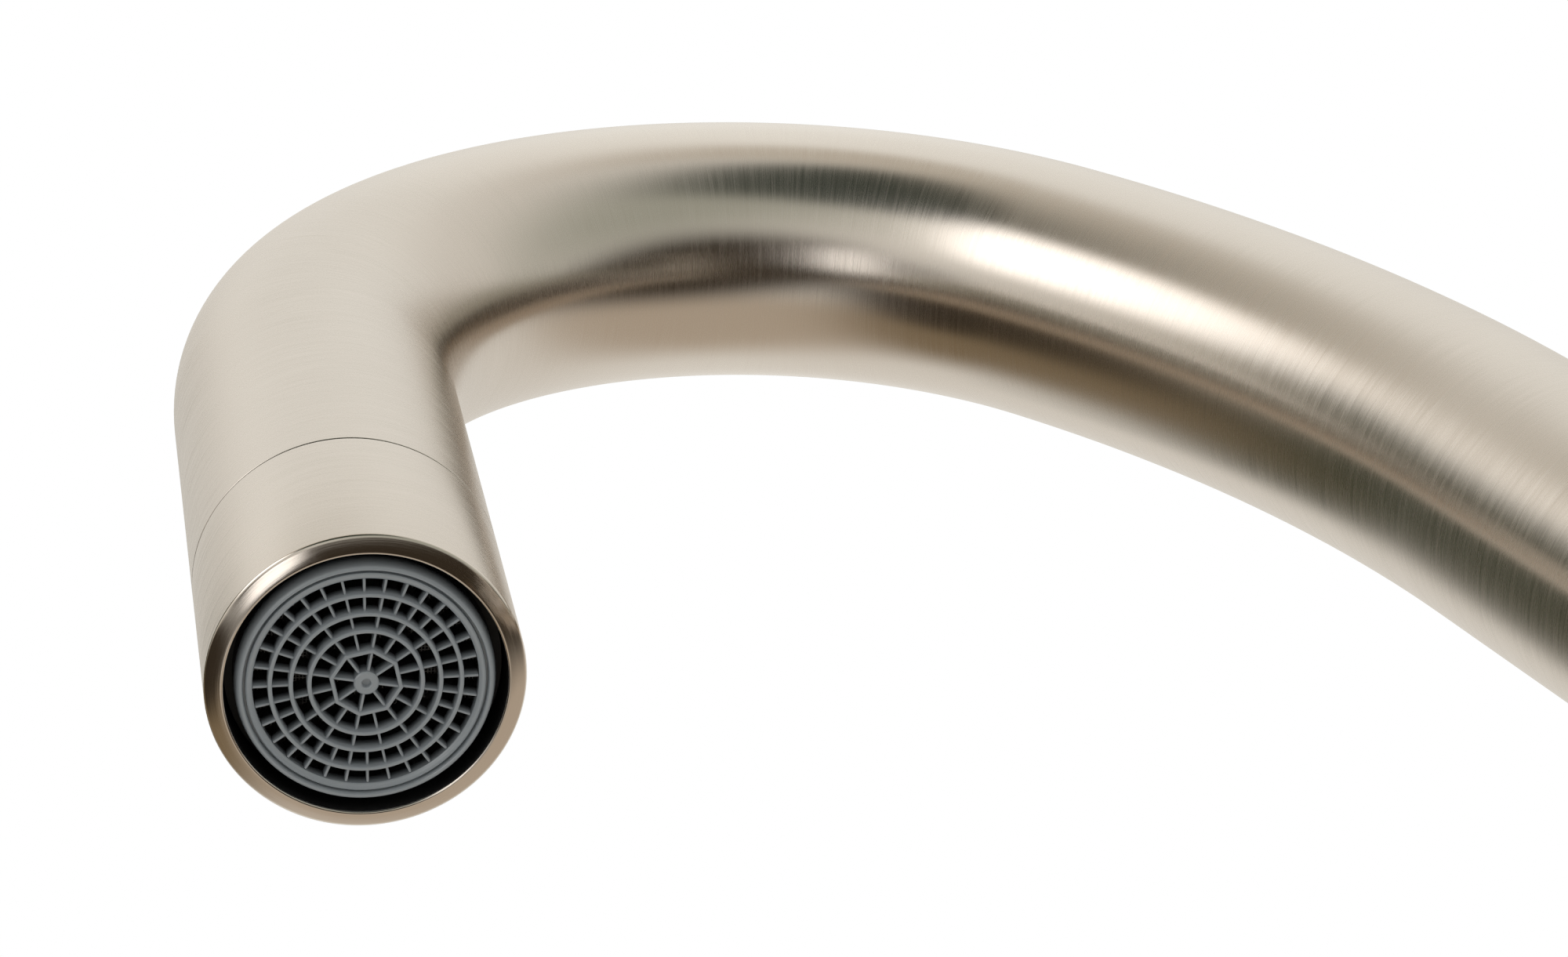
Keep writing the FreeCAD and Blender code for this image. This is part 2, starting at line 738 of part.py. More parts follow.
cartridge_base = turned("cartridge_base", [
    ("0", "base_start"),
    ("housing_radius", "base_start"),
    ("housing_radius", "base_step"),
    ("housing_bore", "base_step"),
    ("housing_bore", "base_end"),
    ("0", "base_end"),
], boss_frame)
fixed_disc = turned("fixed_disc", [
    ("0", "base_end"),
    ("fixed_disc_radius", "base_end"),
    ("fixed_disc_radius", "fixed_disc_end"),
    ("0", "fixed_disc_end"),
], boss_frame)
for port_x, port_y in ports:
    bore(cartridge_base, "port_radius", "base_end", "base_end", port_x, port_y)
    bore(cartridge_base, "seal_pocket", "seal_depth", "cavity_floor + seal_depth", port_x, port_y)
    bore(fixed_disc, "port_radius", "fixed_disc_end - base_end", "fixed_disc_end", port_x, port_y)
orings("base_seals", boss_frame, "seal_ring", "seal_section_radius",
       *[(port_x, port_y, "cavity_floor + seal_depth / 2") for port_x, port_y in ports])

turned("cartridge_housing", [
    ("housing_bore", "base_step"),
    ("housing_radius", "base_step"),
    ("housing_radius", "housing_end"),
    ("turret_opening", "housing_end"),
    ("turret_opening", "housing_lid"),
    ("housing_bore", "housing_lid"),
], boss_frame)

# the stem's inner end drives the disc across the ports, so at rest the disc stands off centre
disc_shift = "stem_inner * sin(lift_angle / 2)"
disc_frame = ("0", "0", f"boss_height - {disc_shift}", Vector(0, 1, 0), "90")
moving_disc = turned("moving_disc", [
    ("0", "fixed_disc_end + disc_gap"),
    ("disc_radius", "fixed_disc_end + disc_gap"),
    ("disc_radius", "moving_disc_end"),
    ("0", "moving_disc_end"),
], disc_frame)
cut_box(moving_disc, "mixing_half_height", "mixing_half_width", "mixing_depth", "fixed_disc_end + mixing_depth",
        x="mixing_shift")

disc_carrier = turned("disc_carrier", [
    ("0", "moving_disc_end"),
    ("carrier_radius", "moving_disc_end"),
    ("carrier_radius", "disc_carrier_end"),
    ("0", "disc_carrier_end"),
], disc_frame)
cut_box(disc_carrier, "stem_ball + running_gap", "stem_ball + running_gap",
        "carrier_slot", "disc_carrier_end")

turret = turned("turret", [
    ("0", "turret_start"),
    ("turret_radius", "turret_start"),
    ("turret_radius", "turret_step"),
    ("turret_neck", "turret_step"),
    ("turret_neck", "turret_end"),
    ("0", "turret_end"),
], boss_frame)
cut_box(turret, "turret_slot", "stem_side / 2 + running_gap", "turret_end - turret_start", "turret_end")
bore(turret, "pin_radius", "2 * turret_neck", "turret_neck", y="pivot_depth", plane="XZ_Plane")
groove(turret, "turret_groove", "turret_radius", "turret_groove_low", "turret_groove_high")
orings("turret_oring", boss_frame, "turret_oring_ring", "turret_oring_section",
       ("0", "0", "(turret_groove_low + turret_groove_high) / 2"))

cross_pin = primitive("Cylinder", "cross_pin", Radius="pin_radius", Height="2 * turret_neck - small_edge")
place(cross_pin, ("pivot_depth", "turret_neck - small_edge / 2", "boss_height", Vector(1, 0, 0), "90"))
sub_parts.append(cross_pin)

# stem: square outside, round waist and ball end inside, crossed by the pin
stem = turned("stem", [
    ("0", "0 - stem_inner - stem_ball_edge"),
    ("stem_ball - stem_ball_edge", "0 - stem_inner - stem_ball_edge"),
    ("stem_ball", "0 - stem_inner"),
    ("stem_ball", "0 - stem_inner + stem_ball_edge"),
    ("stem_waist", "stem_waist_end"),
    ("stem_core", "stem_core_start"),
    ("stem_core", "stem_core_end"),
    ("0", "stem_core_end"),
], stem_frame)
shaft_sketch = add_sketch(stem, "XY_Plane", "stem_square_start")
draw_rectangle(shaft_sketch, "stem_side / 2", "stem_side / 2")
add_feature(stem, "Pad", shaft_sketch, Length="stem_outer - stem_square_start")
bore(stem, "pin_radius + fine_gap / 2", "stem_side + cut_margin", "stem_side / 2 + cut_margin / 2",
     plane="XZ_Plane")

turned("cartridge_nut", [
    ("cartridge_nut_bore", "housing_end"),
    ("nut_bore", "housing_end"),
    ("nut_bore", "cartridge_nut_end"),
    ("cartridge_nut_mouth", "cartridge_nut_end"),
    ("cartridge_nut_mouth", "cartridge_nut_step"),
    ("cartridge_nut_bore", "cartridge_nut_step"),
], boss_frame)


# ---- handle: trim dome, hub, lever rod and its screw ----

pivot_frame = ("pivot_depth", "0", "boss_height", Vector(0, 1, 0), "90")
dome_reach = "boss_end - pivot_depth"
dome = add_body("trim_dome", pivot_frame)
turn_ball(dome, "dome_radius", "Revolution")
turn_ball(dome, "dome_radius - dome_wall", "Groove")
bore(dome, "dome_radius + cut_margin", f"{dome_reach} + dome_radius + cut_margin", dome_reach)
bore(dome, "dome_opening", "dome_radius", "dome_radius + cut_margin")
spigot = add_sketch(dome, "XY_Plane", f"{dome_reach} - spigot_length")
draw_circle(spigot, "nut_bore")
draw_circle(spigot, "nut_bore - spigot_wall")
add_feature(dome, "Pad", spigot, Length="spigot_length")

# the hub is hollowed by a ball about the tilt pivot, so that it clears the dome at every angle
hub = turned("handle_hub", [
    ("0", "hub_start"),
    ("hub_radius", "hub_start"),
    ("hub_radius", "hub_end - hub_edge"),
    ("hub_radius - hub_edge / 3", "hub_end - hub_edge / 3"),
    ("hub_radius - hub_edge", "hub_end"),
    ("0", "hub_end"),
], stem_frame)
turn_ball(hub, "dome_radius + hub_gap", "Groove")
cut_box(hub, "stem_side / 2 + disc_gap", "stem_side / 2 + disc_gap", "stem_outer - dome_radius", "stem_outer")
bore(hub, "rod_radius", "hub_radius", "0 - rod_start", y="rod_depth", plane="YZ_Plane")
bore(hub, "screw_radius", "hub_radius - stem_side / 2", "hub_radius", y="rod_depth", plane="YZ_Plane")
bore(hub, "cap_radius", "cap_thickness", "hub_radius", y="rod_depth", plane="YZ_Plane")


def across_hub(reach, angle):
    # a frame on the hub's cross hole, at a reach towards its lower side
    x = f"pivot_depth + rod_depth * cos(lift_angle / 2) + ({reach}) * sin(lift_angle / 2)"
    z = f"boss_height + rod_depth * sin(lift_angle / 2) - ({reach}) * cos(lift_angle / 2)"
    return (x, "0", z, Vector(0, 1, 0), angle)


rod_frame = across_hub("0 - rod_start", "0 - lift_angle / 2")
turned("lever_rod", [
    ("0", "0"),
    ("rod_radius", "0"),
    ("rod_radius", "rod_length - rod_crown"),
    ("rod_radius - rod_edge", "rod_length - rod_edge"),
    ("rod_radius - rod_crown", "rod_length"),
    ("0", "rod_length"),
], rod_frame)

screw_frame = across_hub("stem_side / 2", "180 - lift_angle / 2")
handle_screw = turned("handle_screw", [
    ("0", "disc_gap"),
    ("screw_radius", "disc_gap"),
    ("screw_radius", "screw_length"),
    ("0", "screw_length"),
], screw_frame)
cut_box(handle_screw, "screw_socket", "screw_socket", "screw_socket_depth", "screw_length")
turned("screw_cap", [
    ("0", "hub_radius - cap_thickness"),
    ("cap_radius", "hub_radius - cap_thickness"),
    ("cap_radius", "hub_radius - cap_recess"),
    ("0", "hub_radius - cap_recess"),
], across_hub("0", "180 - lift_angle / 2"))


# ---- base flange, shank and the fixings under the deck ----

turned("base_flange", [
    ("washer_bore", "0"),
    ("gasket_recess_inner", "0"),
    ("gasket_recess_inner", "gasket_thickness"),
    ("gasket_recess_outer", "gasket_thickness"),
    ("gasket_recess_outer", "0"),
    ("flange_radius", "0"),
    ("flange_radius", "body_foot - flange_edge"),
    ("flange_top_radius", "body_foot"),
    ("washer_bore", "body_foot"),
])
ring("deck_gasket", "gasket_inner", "gasket_outer", "0", "gasket_thickness")
ring("shank", "shank_bore", "shank_radius", "shank_end", "shank_top")
under_deck = "0 - deck_thickness"
under_rubber = f"{under_deck} - rubber_thickness"
under_steel = f"{under_rubber} - steel_thickness"
under_nut = f"{under_steel} - mounting_nut_height"
ring("rubber_washer", "washer_bore", "washer_radius", under_rubber, under_deck)
ring("steel_washer", "washer_bore", "washer_radius", under_steel, under_rubber)
mounting_nut = ring("mounting_nut", "shank_radius", "mounting_nut_radius", under_nut, under_steel)
nut_screws = []
for index in range(3):
    x, y = f"nut_screw_pitch * cos({index * 120})", f"nut_screw_pitch * sin({index * 120})"
    bore(mounting_nut, "nut_screw_radius", "mounting_nut_height", under_steel, x, y)
    screw = doc.addObject("Part::Fuse", f"nut_screw_{index}")
    screw.Base = primitive("Cylinder", f"nut_screw_thread_{index}", x, y, f"{under_steel} - nut_screw_length",
                           Radius="nut_screw_radius", Height="nut_screw_length")
    head_low = f"{under_steel} - nut_screw_length - nut_screw_head_height"
    screw.Tool = primitive("Cylinder", f"nut_screw_head_{index}", x, y, head_low,
                           Radius="nut_screw_head", Height="nut_screw_head_height")
    nut_screws.append(screw)
group("nut_screws", nut_screws)


# ---- hot, cold and mixed water tubes ----

tail_ends = {"hot_tail": "supply_tail_end", "cold_tail": "supply_tail_end", "mixed_tail": "mixed_tail_end"}
guide = ring("tube_guide", "hose_radius + running_gap", "shank_bore", "shank_end", "shank_end + guide_height")
for label, (tail_x, tail_y, _, _) in tail_places.items():
    ring(label, "tail_bore", "tail_radius", tail_ends[label], "tail_top", (tail_x, tail_y, "0", Vector(0, 0, 1), "0"))
    bore(guide, "tail_radius", "guide_height", "shank_end + guide_height", tail_x, tail_y)

for label, tail in (("hot_fitting", "hot_tail"), ("cold_fitting", "cold_tail")):
    tail_x, tail_y, _, _ = tail_places[tail]
    turned(label, [
        ("tail_bore", "0 - fitting_overhang"),
        ("fitting_radius", "0 - fitting_overhang"),
        ("fitting_radius", "fitting_thread - fitting_overhang"),
        ("fitting_collar", "fitting_thread - fitting_overhang"),
        ("fitting_collar", "fitting_length - fitting_overhang"),
        ("tail_radius", "fitting_length - fitting_overhang"),
        ("tail_radius", "0"),
        ("tail_bore", "0"),
    ], (tail_x, tail_y, "supply_tail_end", Vector(0, 0, 1), "0"))

mixed_end_frame = ("tail_pitch", "0", "mixed_tail_end", Vector(0, 0, 1), "0")
quick_nipple = turned("quick_nipple", [
    ("tail_bore", "0 - quick_nipple_length"),
    ("quick_nipple_radius - quick_edge", "0 - quick_nipple_length"),
    ("quick_nipple_radius", "quick_edge - quick_nipple_length"),
    ("quick_nipple_radius", "quick_sleeve"),
    ("tail_radius", "quick_sleeve"),
    ("tail_radius", "0"),
    ("tail_bore", "0"),
], mixed_end_frame)
groove(quick_nipple, "quick_groove", "quick_nipple_radius", "quick_groove_low", "quick_groove_high")
orings("quick_oring", mixed_end_frame, "quick_oring_ring", "quick_oring_section",
       ("0", "0", "(quick_groove_low + quick_groove_high) / 2"))


doc.recompute()
for item in doc.Objects:
    if "Invalid" in item.State or "Error" in item.State:
        raise RuntimeError(f"{item.Name} failed: {item.State}")
os.makedirs("parts", exist_ok=True)
for item in sub_parts:
    if item.Shape.isNull() or not item.Shape.isValid():
        raise RuntimeError(f"{item.Label} has no valid shape")
    item.Shape.exportStep(f"parts/{item.Label}.step")
    print(item.Label, len(item.Shape.Solids), round(item.Shape.Volume, 1))
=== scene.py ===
import json
import math
import bmesh
import bpy
from mathutils import Matrix, Vector


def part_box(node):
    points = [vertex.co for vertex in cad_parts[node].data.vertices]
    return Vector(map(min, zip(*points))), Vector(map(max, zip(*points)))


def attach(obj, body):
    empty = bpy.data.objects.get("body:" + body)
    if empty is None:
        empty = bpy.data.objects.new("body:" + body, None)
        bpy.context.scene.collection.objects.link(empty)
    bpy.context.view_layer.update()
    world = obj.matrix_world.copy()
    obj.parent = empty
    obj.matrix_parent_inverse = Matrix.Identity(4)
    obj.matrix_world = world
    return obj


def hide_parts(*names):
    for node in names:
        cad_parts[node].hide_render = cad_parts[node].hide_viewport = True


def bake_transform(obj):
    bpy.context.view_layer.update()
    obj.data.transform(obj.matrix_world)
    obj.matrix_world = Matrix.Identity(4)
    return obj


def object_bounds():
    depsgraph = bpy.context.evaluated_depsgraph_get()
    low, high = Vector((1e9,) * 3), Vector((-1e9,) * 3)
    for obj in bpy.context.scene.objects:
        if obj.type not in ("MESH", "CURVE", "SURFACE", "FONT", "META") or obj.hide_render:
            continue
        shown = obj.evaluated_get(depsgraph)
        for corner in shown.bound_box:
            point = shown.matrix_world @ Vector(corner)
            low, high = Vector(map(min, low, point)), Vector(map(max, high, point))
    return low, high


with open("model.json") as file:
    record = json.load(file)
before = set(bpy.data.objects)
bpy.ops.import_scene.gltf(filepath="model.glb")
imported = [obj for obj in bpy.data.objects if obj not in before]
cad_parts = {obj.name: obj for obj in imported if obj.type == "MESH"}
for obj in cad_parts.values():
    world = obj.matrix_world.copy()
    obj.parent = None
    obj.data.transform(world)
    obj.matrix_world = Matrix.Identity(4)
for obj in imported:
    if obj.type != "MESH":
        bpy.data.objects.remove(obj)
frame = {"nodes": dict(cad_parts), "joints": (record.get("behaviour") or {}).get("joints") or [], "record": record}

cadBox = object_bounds()
nodes = frame["nodes"]
joints = {joint["name"]: joint for joint in frame["joints"]}
mm = 0.001
threadDepth = 0.6


def placeAlong(origin, direction, side=(1, 0, 0)):
    # a matrix whose Z runs along direction and whose X stays near side
    up = Vector(direction).normalized()
    across = up.cross(Vector(side)).normalized()
    matrix = Matrix((across.cross(up), across, up)).transposed().to_4x4()
    matrix.translation = Vector(origin)
    return matrix


# places that groups of pieces are built in
pullWay = Vector(joints["wand_swivel"]["axis"]).normalized()
outletCentre = Vector(joints["wand_swivel"]["pos_m"])
outletPlace = placeAlong(outletCentre, -pullWay)
pivot = Vector(joints["lever_lift"]["pos_m"])
halfLift = math.radians(joints["lever_lift"]["range_deg"][1] / 2)
stemWay = Vector((math.cos(halfLift), 0, math.sin(halfLift)))
leverWay = Vector((-math.sin(halfLift), 0, math.cos(halfLift)))
stemPlace = placeAlong(pivot, stemWay, leverWay)
bossPlace = placeAlong((0, 0, pivot.z), (1, 0, 0), (0, 0, 1))
pivotPlace = placeAlong(pivot, (1, 0, 0), (0, 0, 1))
deckPlace = Matrix.Identity(4)


def arc(reach, radius, start, end, height=0, steps=8):
    # points (radius, height) on a circle about (reach, height); angles from the axis, in degrees
    turns = [math.radians(start + (end - start) * step / steps) for step in range(steps + 1)]
    return [(reach + radius * math.sin(turn), height + radius * math.cos(turn)) for turn in turns]


def dropSeams(bm):
    bmesh.ops.remove_doubles(bm, verts=bm.verts, dist=1e-7)
    bmesh.ops.recalc_face_normals(bm, faces=bm.faces)


def softenEdges(bm, width, segments=2, sharpest=28):
    # rounds every edge that turns by more than sharpest degrees
    sharp = [edge for edge in bm.edges if len(edge.link_faces) == 2
             and edge.calc_face_angle(0) > math.radians(sharpest)]
    bmesh.ops.bevel(bm, geom=sharp, offset=width * mm, offset_type="OFFSET", affect="EDGES",
                    segments=segments, profile=0.5, material=-1, clamp_overlap=True)


def onlyVerts(items):
    return [item for item in items if isinstance(item, bmesh.types.BMVert)]


def edgesAmong(bm, ring):
    return [edge for edge in bm.edges if edge.verts[0] in ring and edge.verts[1] in ring]


def spunSolid(outline, steps=96):
    # a closed outline of (radius, height) in millimetres, turned about Z; points on the axis close it
    bm = bmesh.new()
    corners = [bm.verts.new((radius * mm, 0, height * mm)) for radius, height in outline]
    pairs = list(zip(corners, corners[1:] + corners[:1]))
    edges = [bm.edges.new(pair) for pair in pairs if pair[0].co.x + pair[1].co.x > 0]
    bmesh.ops.spin(bm, geom=corners + edges, cent=(0, 0, 0), axis=(0, 0, 1), dvec=(0, 0, 0),
                   angle=2 * math.pi, steps=steps, use_merge=True, use_duplicate=False)
    dropSeams(bm)
    return bm


def threadedRod(radius, low, high, pitch, bore=0, steps=48):
    # a V thread: one line of teeth turned once while it rises by a pitch, then trimmed flat
    bm = bmesh.new()
    root = radius - threadDepth * pitch
    heights = [low - pitch + pitch * tooth / 2 for tooth in range(round(2 * (high - low) / pitch) + 5)]
    line = [bm.verts.new(((radius if index % 2 else root) * mm, 0, height * mm))
            for index, height in enumerate(heights)]
    edges = [bm.edges.new(pair) for pair in zip(line, line[1:])]
    bmesh.ops.spin(bm, geom=line + edges, cent=(0, 0, 0), axis=(0, 0, 1), dvec=(0, 0, pitch * mm / steps),
                   angle=2 * math.pi, steps=steps, use_merge=False, use_duplicate=False)
    bmesh.ops.remove_doubles(bm, verts=bm.verts, dist=1e-6)
    for height, way in ((low, -1), (high, 1)):
        bmesh.ops.bisect_plane(bm, geom=bm.verts[:] + bm.edges[:] + bm.faces[:], plane_co=(0, 0, height * mm),
                               plane_no=(0, 0, way), clear_outer=True)
    if bore:
        ring = bmesh.ops.create_circle(bm, radius=bore * mm, segments=steps,
                                       matrix=Matrix.Translation((0, 0, low * mm)))["verts"]
        made = bmesh.ops.extrude_edge_only(bm, edges=edgesAmong(bm, ring))["geom"]
        bmesh.ops.translate(bm, verts=onlyVerts(made), vec=(0, 0, (high - low) * mm))
    for height in (low, high):
        rims = [edge for edge in bm.edges if edge.is_boundary
                and abs(edge.verts[0].co.z - height * mm) < 1e-6]
        bmesh.ops.triangle_fill(bm, edges=rims, use_beauty=True, use_dissolve=False)
    dropSeams(bm)
    return bm


def mapAround(bm):
    # U runs along the piece and out over its ends, V once around it
    layer = bm.loops.layers.uv.get("turning") or bm.loops.layers.uv.new("turning")
    for face in bm.faces:
        middle = face.calc_center_median()
        facing = math.atan2(middle.y, middle.x)
        for loop in face.loops:
            point = loop.vert.co
            reach = math.hypot(point.x, point.y)
            angle = math.atan2(point.y, point.x) if reach > 1e-6 else facing
            angle = facing + (angle - facing + math.pi) % (2 * math.pi) - math.pi
            loop[layer].uv = (point.z + reach, angle / (2 * math.pi))


def makeObject(name, bm, place, material=None, sharpest=30):
    mesh = bpy.data.meshes.new(name)
    bm.transform(place)
    bm.to_mesh(mesh)
    bm.free()
    mesh.shade_smooth()
    mesh.set_sharp_from_angle(angle=math.radians(sharpest))
    if material:
        mesh.materials.append(material)
    made = bpy.data.objects.new(name, mesh)
    bpy.context.collection.objects.link(made)
    return made


def makePiece(name, bm, place, body, material, slotName, *replaced, sharpest=30):
    # turns a bmesh into a finished piece with its place in its mesh
    piece = makeObject(name, bm, place, material, sharpest)
    if body:
        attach(piece, body)
    if replaced:
        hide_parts(*replaced)
    return piece


def combine(piece, tool, operation):
    # works a second mesh into a piece and removes it
    step = piece.modifiers.new("combine", "BOOLEAN")
    step.object, step.operation, step.solver = tool, operation, "EXACT"
    depsgraph = bpy.context.evaluated_depsgraph_get()
    mesh = bpy.data.meshes.new_from_object(piece.evaluated_get(depsgraph), preserve_all_data_layers=True,
                                           depsgraph=depsgraph)
    piece.modifiers.clear()
    piece.data = mesh
    bpy.data.objects.remove(tool)
    mesh.set_sharp_from_angle(angle=math.radians(30))


def rodTool(radius, low, high, place, steps=64):
    return makeObject("tool", spunSolid([(0, low), (radius, low), (radius, high), (0, high)], steps), place)


def addNode(tree, kind, settings=None, **values):
    node = tree.nodes.new(kind)
    for key, value in (settings or {}).items():
        setattr(node, key, value)
    for key, value in values.items():
        socket = node.inputs[int(key[1:])] if key[0] == "i" and key[1:].isdigit() else node.inputs[key]
        if isinstance(value, bpy.types.NodeSocket):
            tree.links.new(value, socket)
        else:
            socket.default_value = value
    return node.outputs[0]


def compute(tree, operation, *values):
    sockets = {f"i{index}": value for index, value in enumerate(values)}
    return addNode(tree, "ShaderNodeMath", {"operation": operation}, **sockets)


def dotWith(tree, source, way):
    node = tree.nodes.new("ShaderNodeVectorMath")
    node.operation = "DOT_PRODUCT"
    tree.links.new(source, node.inputs[0])
    node.inputs[1].default_value = way
    return node.outputs["Value"]


def mixColours(tree, factor, first, second, kind="MIX"):
    # mixes two colours, each a plain colour or a socket
    mix = tree.nodes.new("ShaderNodeMix")
    mix.data_type, mix.blend_type = "RGBA", kind
    for index, value in ((0, factor), (6, first), (7, second)):
        if isinstance(value, bpy.types.NodeSocket):
            tree.links.new(value, mix.inputs[index])
        else:
            mix.inputs[index].default_value = (*value, 1) if index else value
    return mix.outputs[2]


def objectPlace(tree):
    return tree.nodes.new("ShaderNodeTexCoord").outputs["Object"]


def axesOf(tree, source):
    parts = tree.nodes.new("ShaderNodeSeparateXYZ")
    tree.links.new(source, parts.inputs[0])
    return parts.outputs


def turningMap(tree):
    # the U and V that mapAround and sweptTube give
    return axesOf(tree, addNode(tree, "ShaderNodeUVMap", {"uv_map": "turning"}))


def give(material, colour=None, roughness=None, height=None, distance=0, strength=0):
    # links a finish's colour, roughness and relief to its shader
    tree = material.node_tree
    shader = tree.nodes["Principled BSDF"]
    if colour:
        tree.links.new(colour, shader.inputs["Base Color"])
    if roughness:
        tree.links.new(roughness, shader.inputs["Roughness"])
    if height:
        relief = addNode(tree, "ShaderNodeBump", Height=height, Distance=distance, Strength=strength)
        tree.links.new(relief, shader.inputs["Normal"])
    return material


def newMaterial(name, colour, roughness, metallic=0.0, **others):
    material = bpy.data.materials.new(name)
    material.use_nodes = True
    shader = material.node_tree.nodes["Principled BSDF"]
    shader.inputs["Base Color"].default_value = (*colour, 1)
    shader.inputs["Roughness"].default_value = roughness
    shader.inputs["Metallic"].default_value = metallic
    for key, value in others.items():
        shader.inputs[key.replace("_", " ")].default_value = value
    return material, material.node_tree


def finish(name, colour, second, roughness, spread=0.08, metallic=0.0, grain=400, stretch=(1, 1, 1),
           fine=3000, bump=0.00002, strength=0.25, **others):
    # a worked surface: blotches between two tones, uneven roughness and a fine grain in the normals
    material, tree = newMaterial(name, colour, roughness, metallic, **others)
    place = addNode(tree, "ShaderNodeMapping", Vector=objectPlace(tree), Scale=stretch)
    blotch = addNode(tree, "ShaderNodeTexNoise", Vector=place, Scale=grain, Detail=4.0)
    grit = addNode(tree, "ShaderNodeTexNoise", Vector=place, Scale=fine, Detail=2.0)
    rough = addNode(tree, "ShaderNodeMapRange", Value=grit, i3=roughness - spread, i4=roughness + spread)
    return give(material, mixColours(tree, blotch, colour, second), rough, grit, bump, strength)


def aroundPlace(tree, along, around, alongSource=None):
    # a place on a turned piece whose pattern closes on itself: U, then V as a circle
    parts = turningMap(tree)
    angle = compute(tree, "MULTIPLY", parts[1], 2 * math.pi)
    circle = [compute(tree, "MULTIPLY", compute(tree, kind, angle), around) for kind in ("COSINE", "SINE")]
    run = compute(tree, "MULTIPLY", alongSource or parts[0], along)
    return addNode(tree, "ShaderNodeCombineXYZ", X=run, Y=circle[0], Z=circle[1])


def brushedNickel(name, roughness, anisotropic):
    # long lines along the turning, shorter scratches among them, and faint clouds of wear
    look = {"colour": (0.66, 0.60, 0.54), "second": (0.72, 0.665, 0.60), "lines": 9000, "lineLength": 2.2,
            "scratches": 1800, "scratchLength": 0.9, "clouds": 60.0, "wear": 0.5, "toneFrom": (0.8, 1.7),
            "roughFrom": (0.6, 1.4), "spread": 0.06, "depth": 0.00001, "strength": 0.35}
    material, tree = newMaterial(name, look["colour"], roughness, 1.0, Anisotropic=anisotropic)
    tangent = addNode(tree, "ShaderNodeTangent", {"direction_type": "UV_MAP", "uv_map": "turning"})
    tree.links.new(tangent, tree.nodes["Principled BSDF"].inputs["Tangent"])
    lines = addNode(tree, "ShaderNodeTexNoise", Scale=1.0, Detail=3.0, Roughness=0.6,
                    Vector=aroundPlace(tree, look["lines"], look["lineLength"]))
    scratches = addNode(tree, "ShaderNodeTexNoise", Scale=1.0, Detail=4.0, Roughness=0.7,
                        Vector=aroundPlace(tree, look["scratches"], look["scratchLength"]))
    clouds = addNode(tree, "ShaderNodeTexNoise", Vector=objectPlace(tree), Scale=look["clouds"], Detail=3.0)
    both = compute(tree, "ADD", lines, scratches)
    worn = compute(tree, "MULTIPLY_ADD", clouds, look["wear"], both)
    tone = addNode(tree, "ShaderNodeMapRange", Value=worn, i1=look["toneFrom"][0], i2=look["toneFrom"][1])
    rough = addNode(tree, "ShaderNodeMapRange", Value=both, i1=look["roughFrom"][0], i2=look["roughFrom"][1],
                    i3=roughness - look["spread"], i4=roughness + look["spread"])
    return give(material, mixColours(tree, tone, look["colour"], look["second"]), rough, both,
                look["depth"], look["strength"])


def wovenHose(name, followPull):
    # a nylon braid: two sets of flat strands that cross; on the stretch that feeds out, it follows the pull
    look = {"colour": (0.32, 0.33, 0.34), "shade": (0.10, 0.10, 0.11), "strands": 24, "perMetre": 260,
            "fibre": (1500, 60), "fibreHeight": 0.4, "toneFrom": (-0.6, 1.0), "depth": 0.0002,
            "strength": 0.6}
    material, tree = newMaterial(name, look["colour"], 0.45, Sheen_Weight=0.2)
    parts = turningMap(tree)
    along = dotWith(tree, objectPlace(tree), pullWay) if followPull else parts[0]
    waves = []
    for way in (1, -1):
        run = compute(tree, "MULTIPLY", along, look["perMetre"] * 2 * math.pi)
        turn = compute(tree, "MULTIPLY_ADD", parts[1], way * look["strands"] * 2 * math.pi, run)
        waves.append(compute(tree, "SINE", turn))
    over = compute(tree, "MAXIMUM", *waves)
    fibre = addNode(tree, "ShaderNodeTexNoise", Scale=1.0, Detail=2.0,
                    Vector=aroundPlace(tree, *look["fibre"], along))
    height = compute(tree, "MULTIPLY_ADD", fibre, look["fibreHeight"], over)
    tone = addNode(tree, "ShaderNodeMapRange", Value=height, i1=look["toneFrom"][0], i2=look["toneFrom"][1])
    return give(material, mixColours(tree, tone, look["shade"], look["colour"]), None, height,
                look["depth"], look["strength"])


def screenCloth():
    # a woven steel strainer, wires 0.3 mm apart, square to the outlet leg's tilt
    look = {"wire": (0.30, 0.29, 0.28), "hole": (0.01, 0.01, 0.01), "perMetre": 3300,
            "tilt": math.radians(16.5), "toneFrom": (0.8, 1.0), "depth": 0.0001, "strength": 0.5}
    material, tree = newMaterial("screenCloth", look["wire"], 0.35, 0.6)
    place = addNode(tree, "ShaderNodeMapping", Vector=objectPlace(tree), Rotation=(look["tilt"], 0, 0),
                    Scale=(look["perMetre"] * math.pi,) * 3)
    parts = axesOf(tree, place)
    waves = [compute(tree, "ABSOLUTE", compute(tree, "SINE", parts[way])) for way in (0, 1)]
    wires = compute(tree, "MAXIMUM", *waves)
    tone = addNode(tree, "ShaderNodeMapRange", Value=wires, i1=look["toneFrom"][0], i2=look["toneFrom"][1])
    return give(material, mixColours(tree, tone, look["hole"], look["wire"]), None, wires,
                look["depth"], look["strength"])


def paintShadeInward(material, start, end):
    # paints shade into a material of the wand: its colour fades to near black between two depths behind the mouth,
    # in millimetres
    tree = material.node_tree
    mouth = -outletCentre.dot(pullWay)
    light = addNode(tree, "ShaderNodeMapRange", {"interpolation_type": "SMOOTHSTEP"},
                    Value=dotWith(tree, objectPlace(tree), -pullWay),
                    i1=mouth + start * mm, i2=mouth + end * mm, i3=1.0, i4=0.05)
    base = tree.nodes["Principled BSDF"].inputs["Base Color"].links[0].from_socket
    return give(material, mixColours(tree, 1, base, light, "MULTIPLY"))


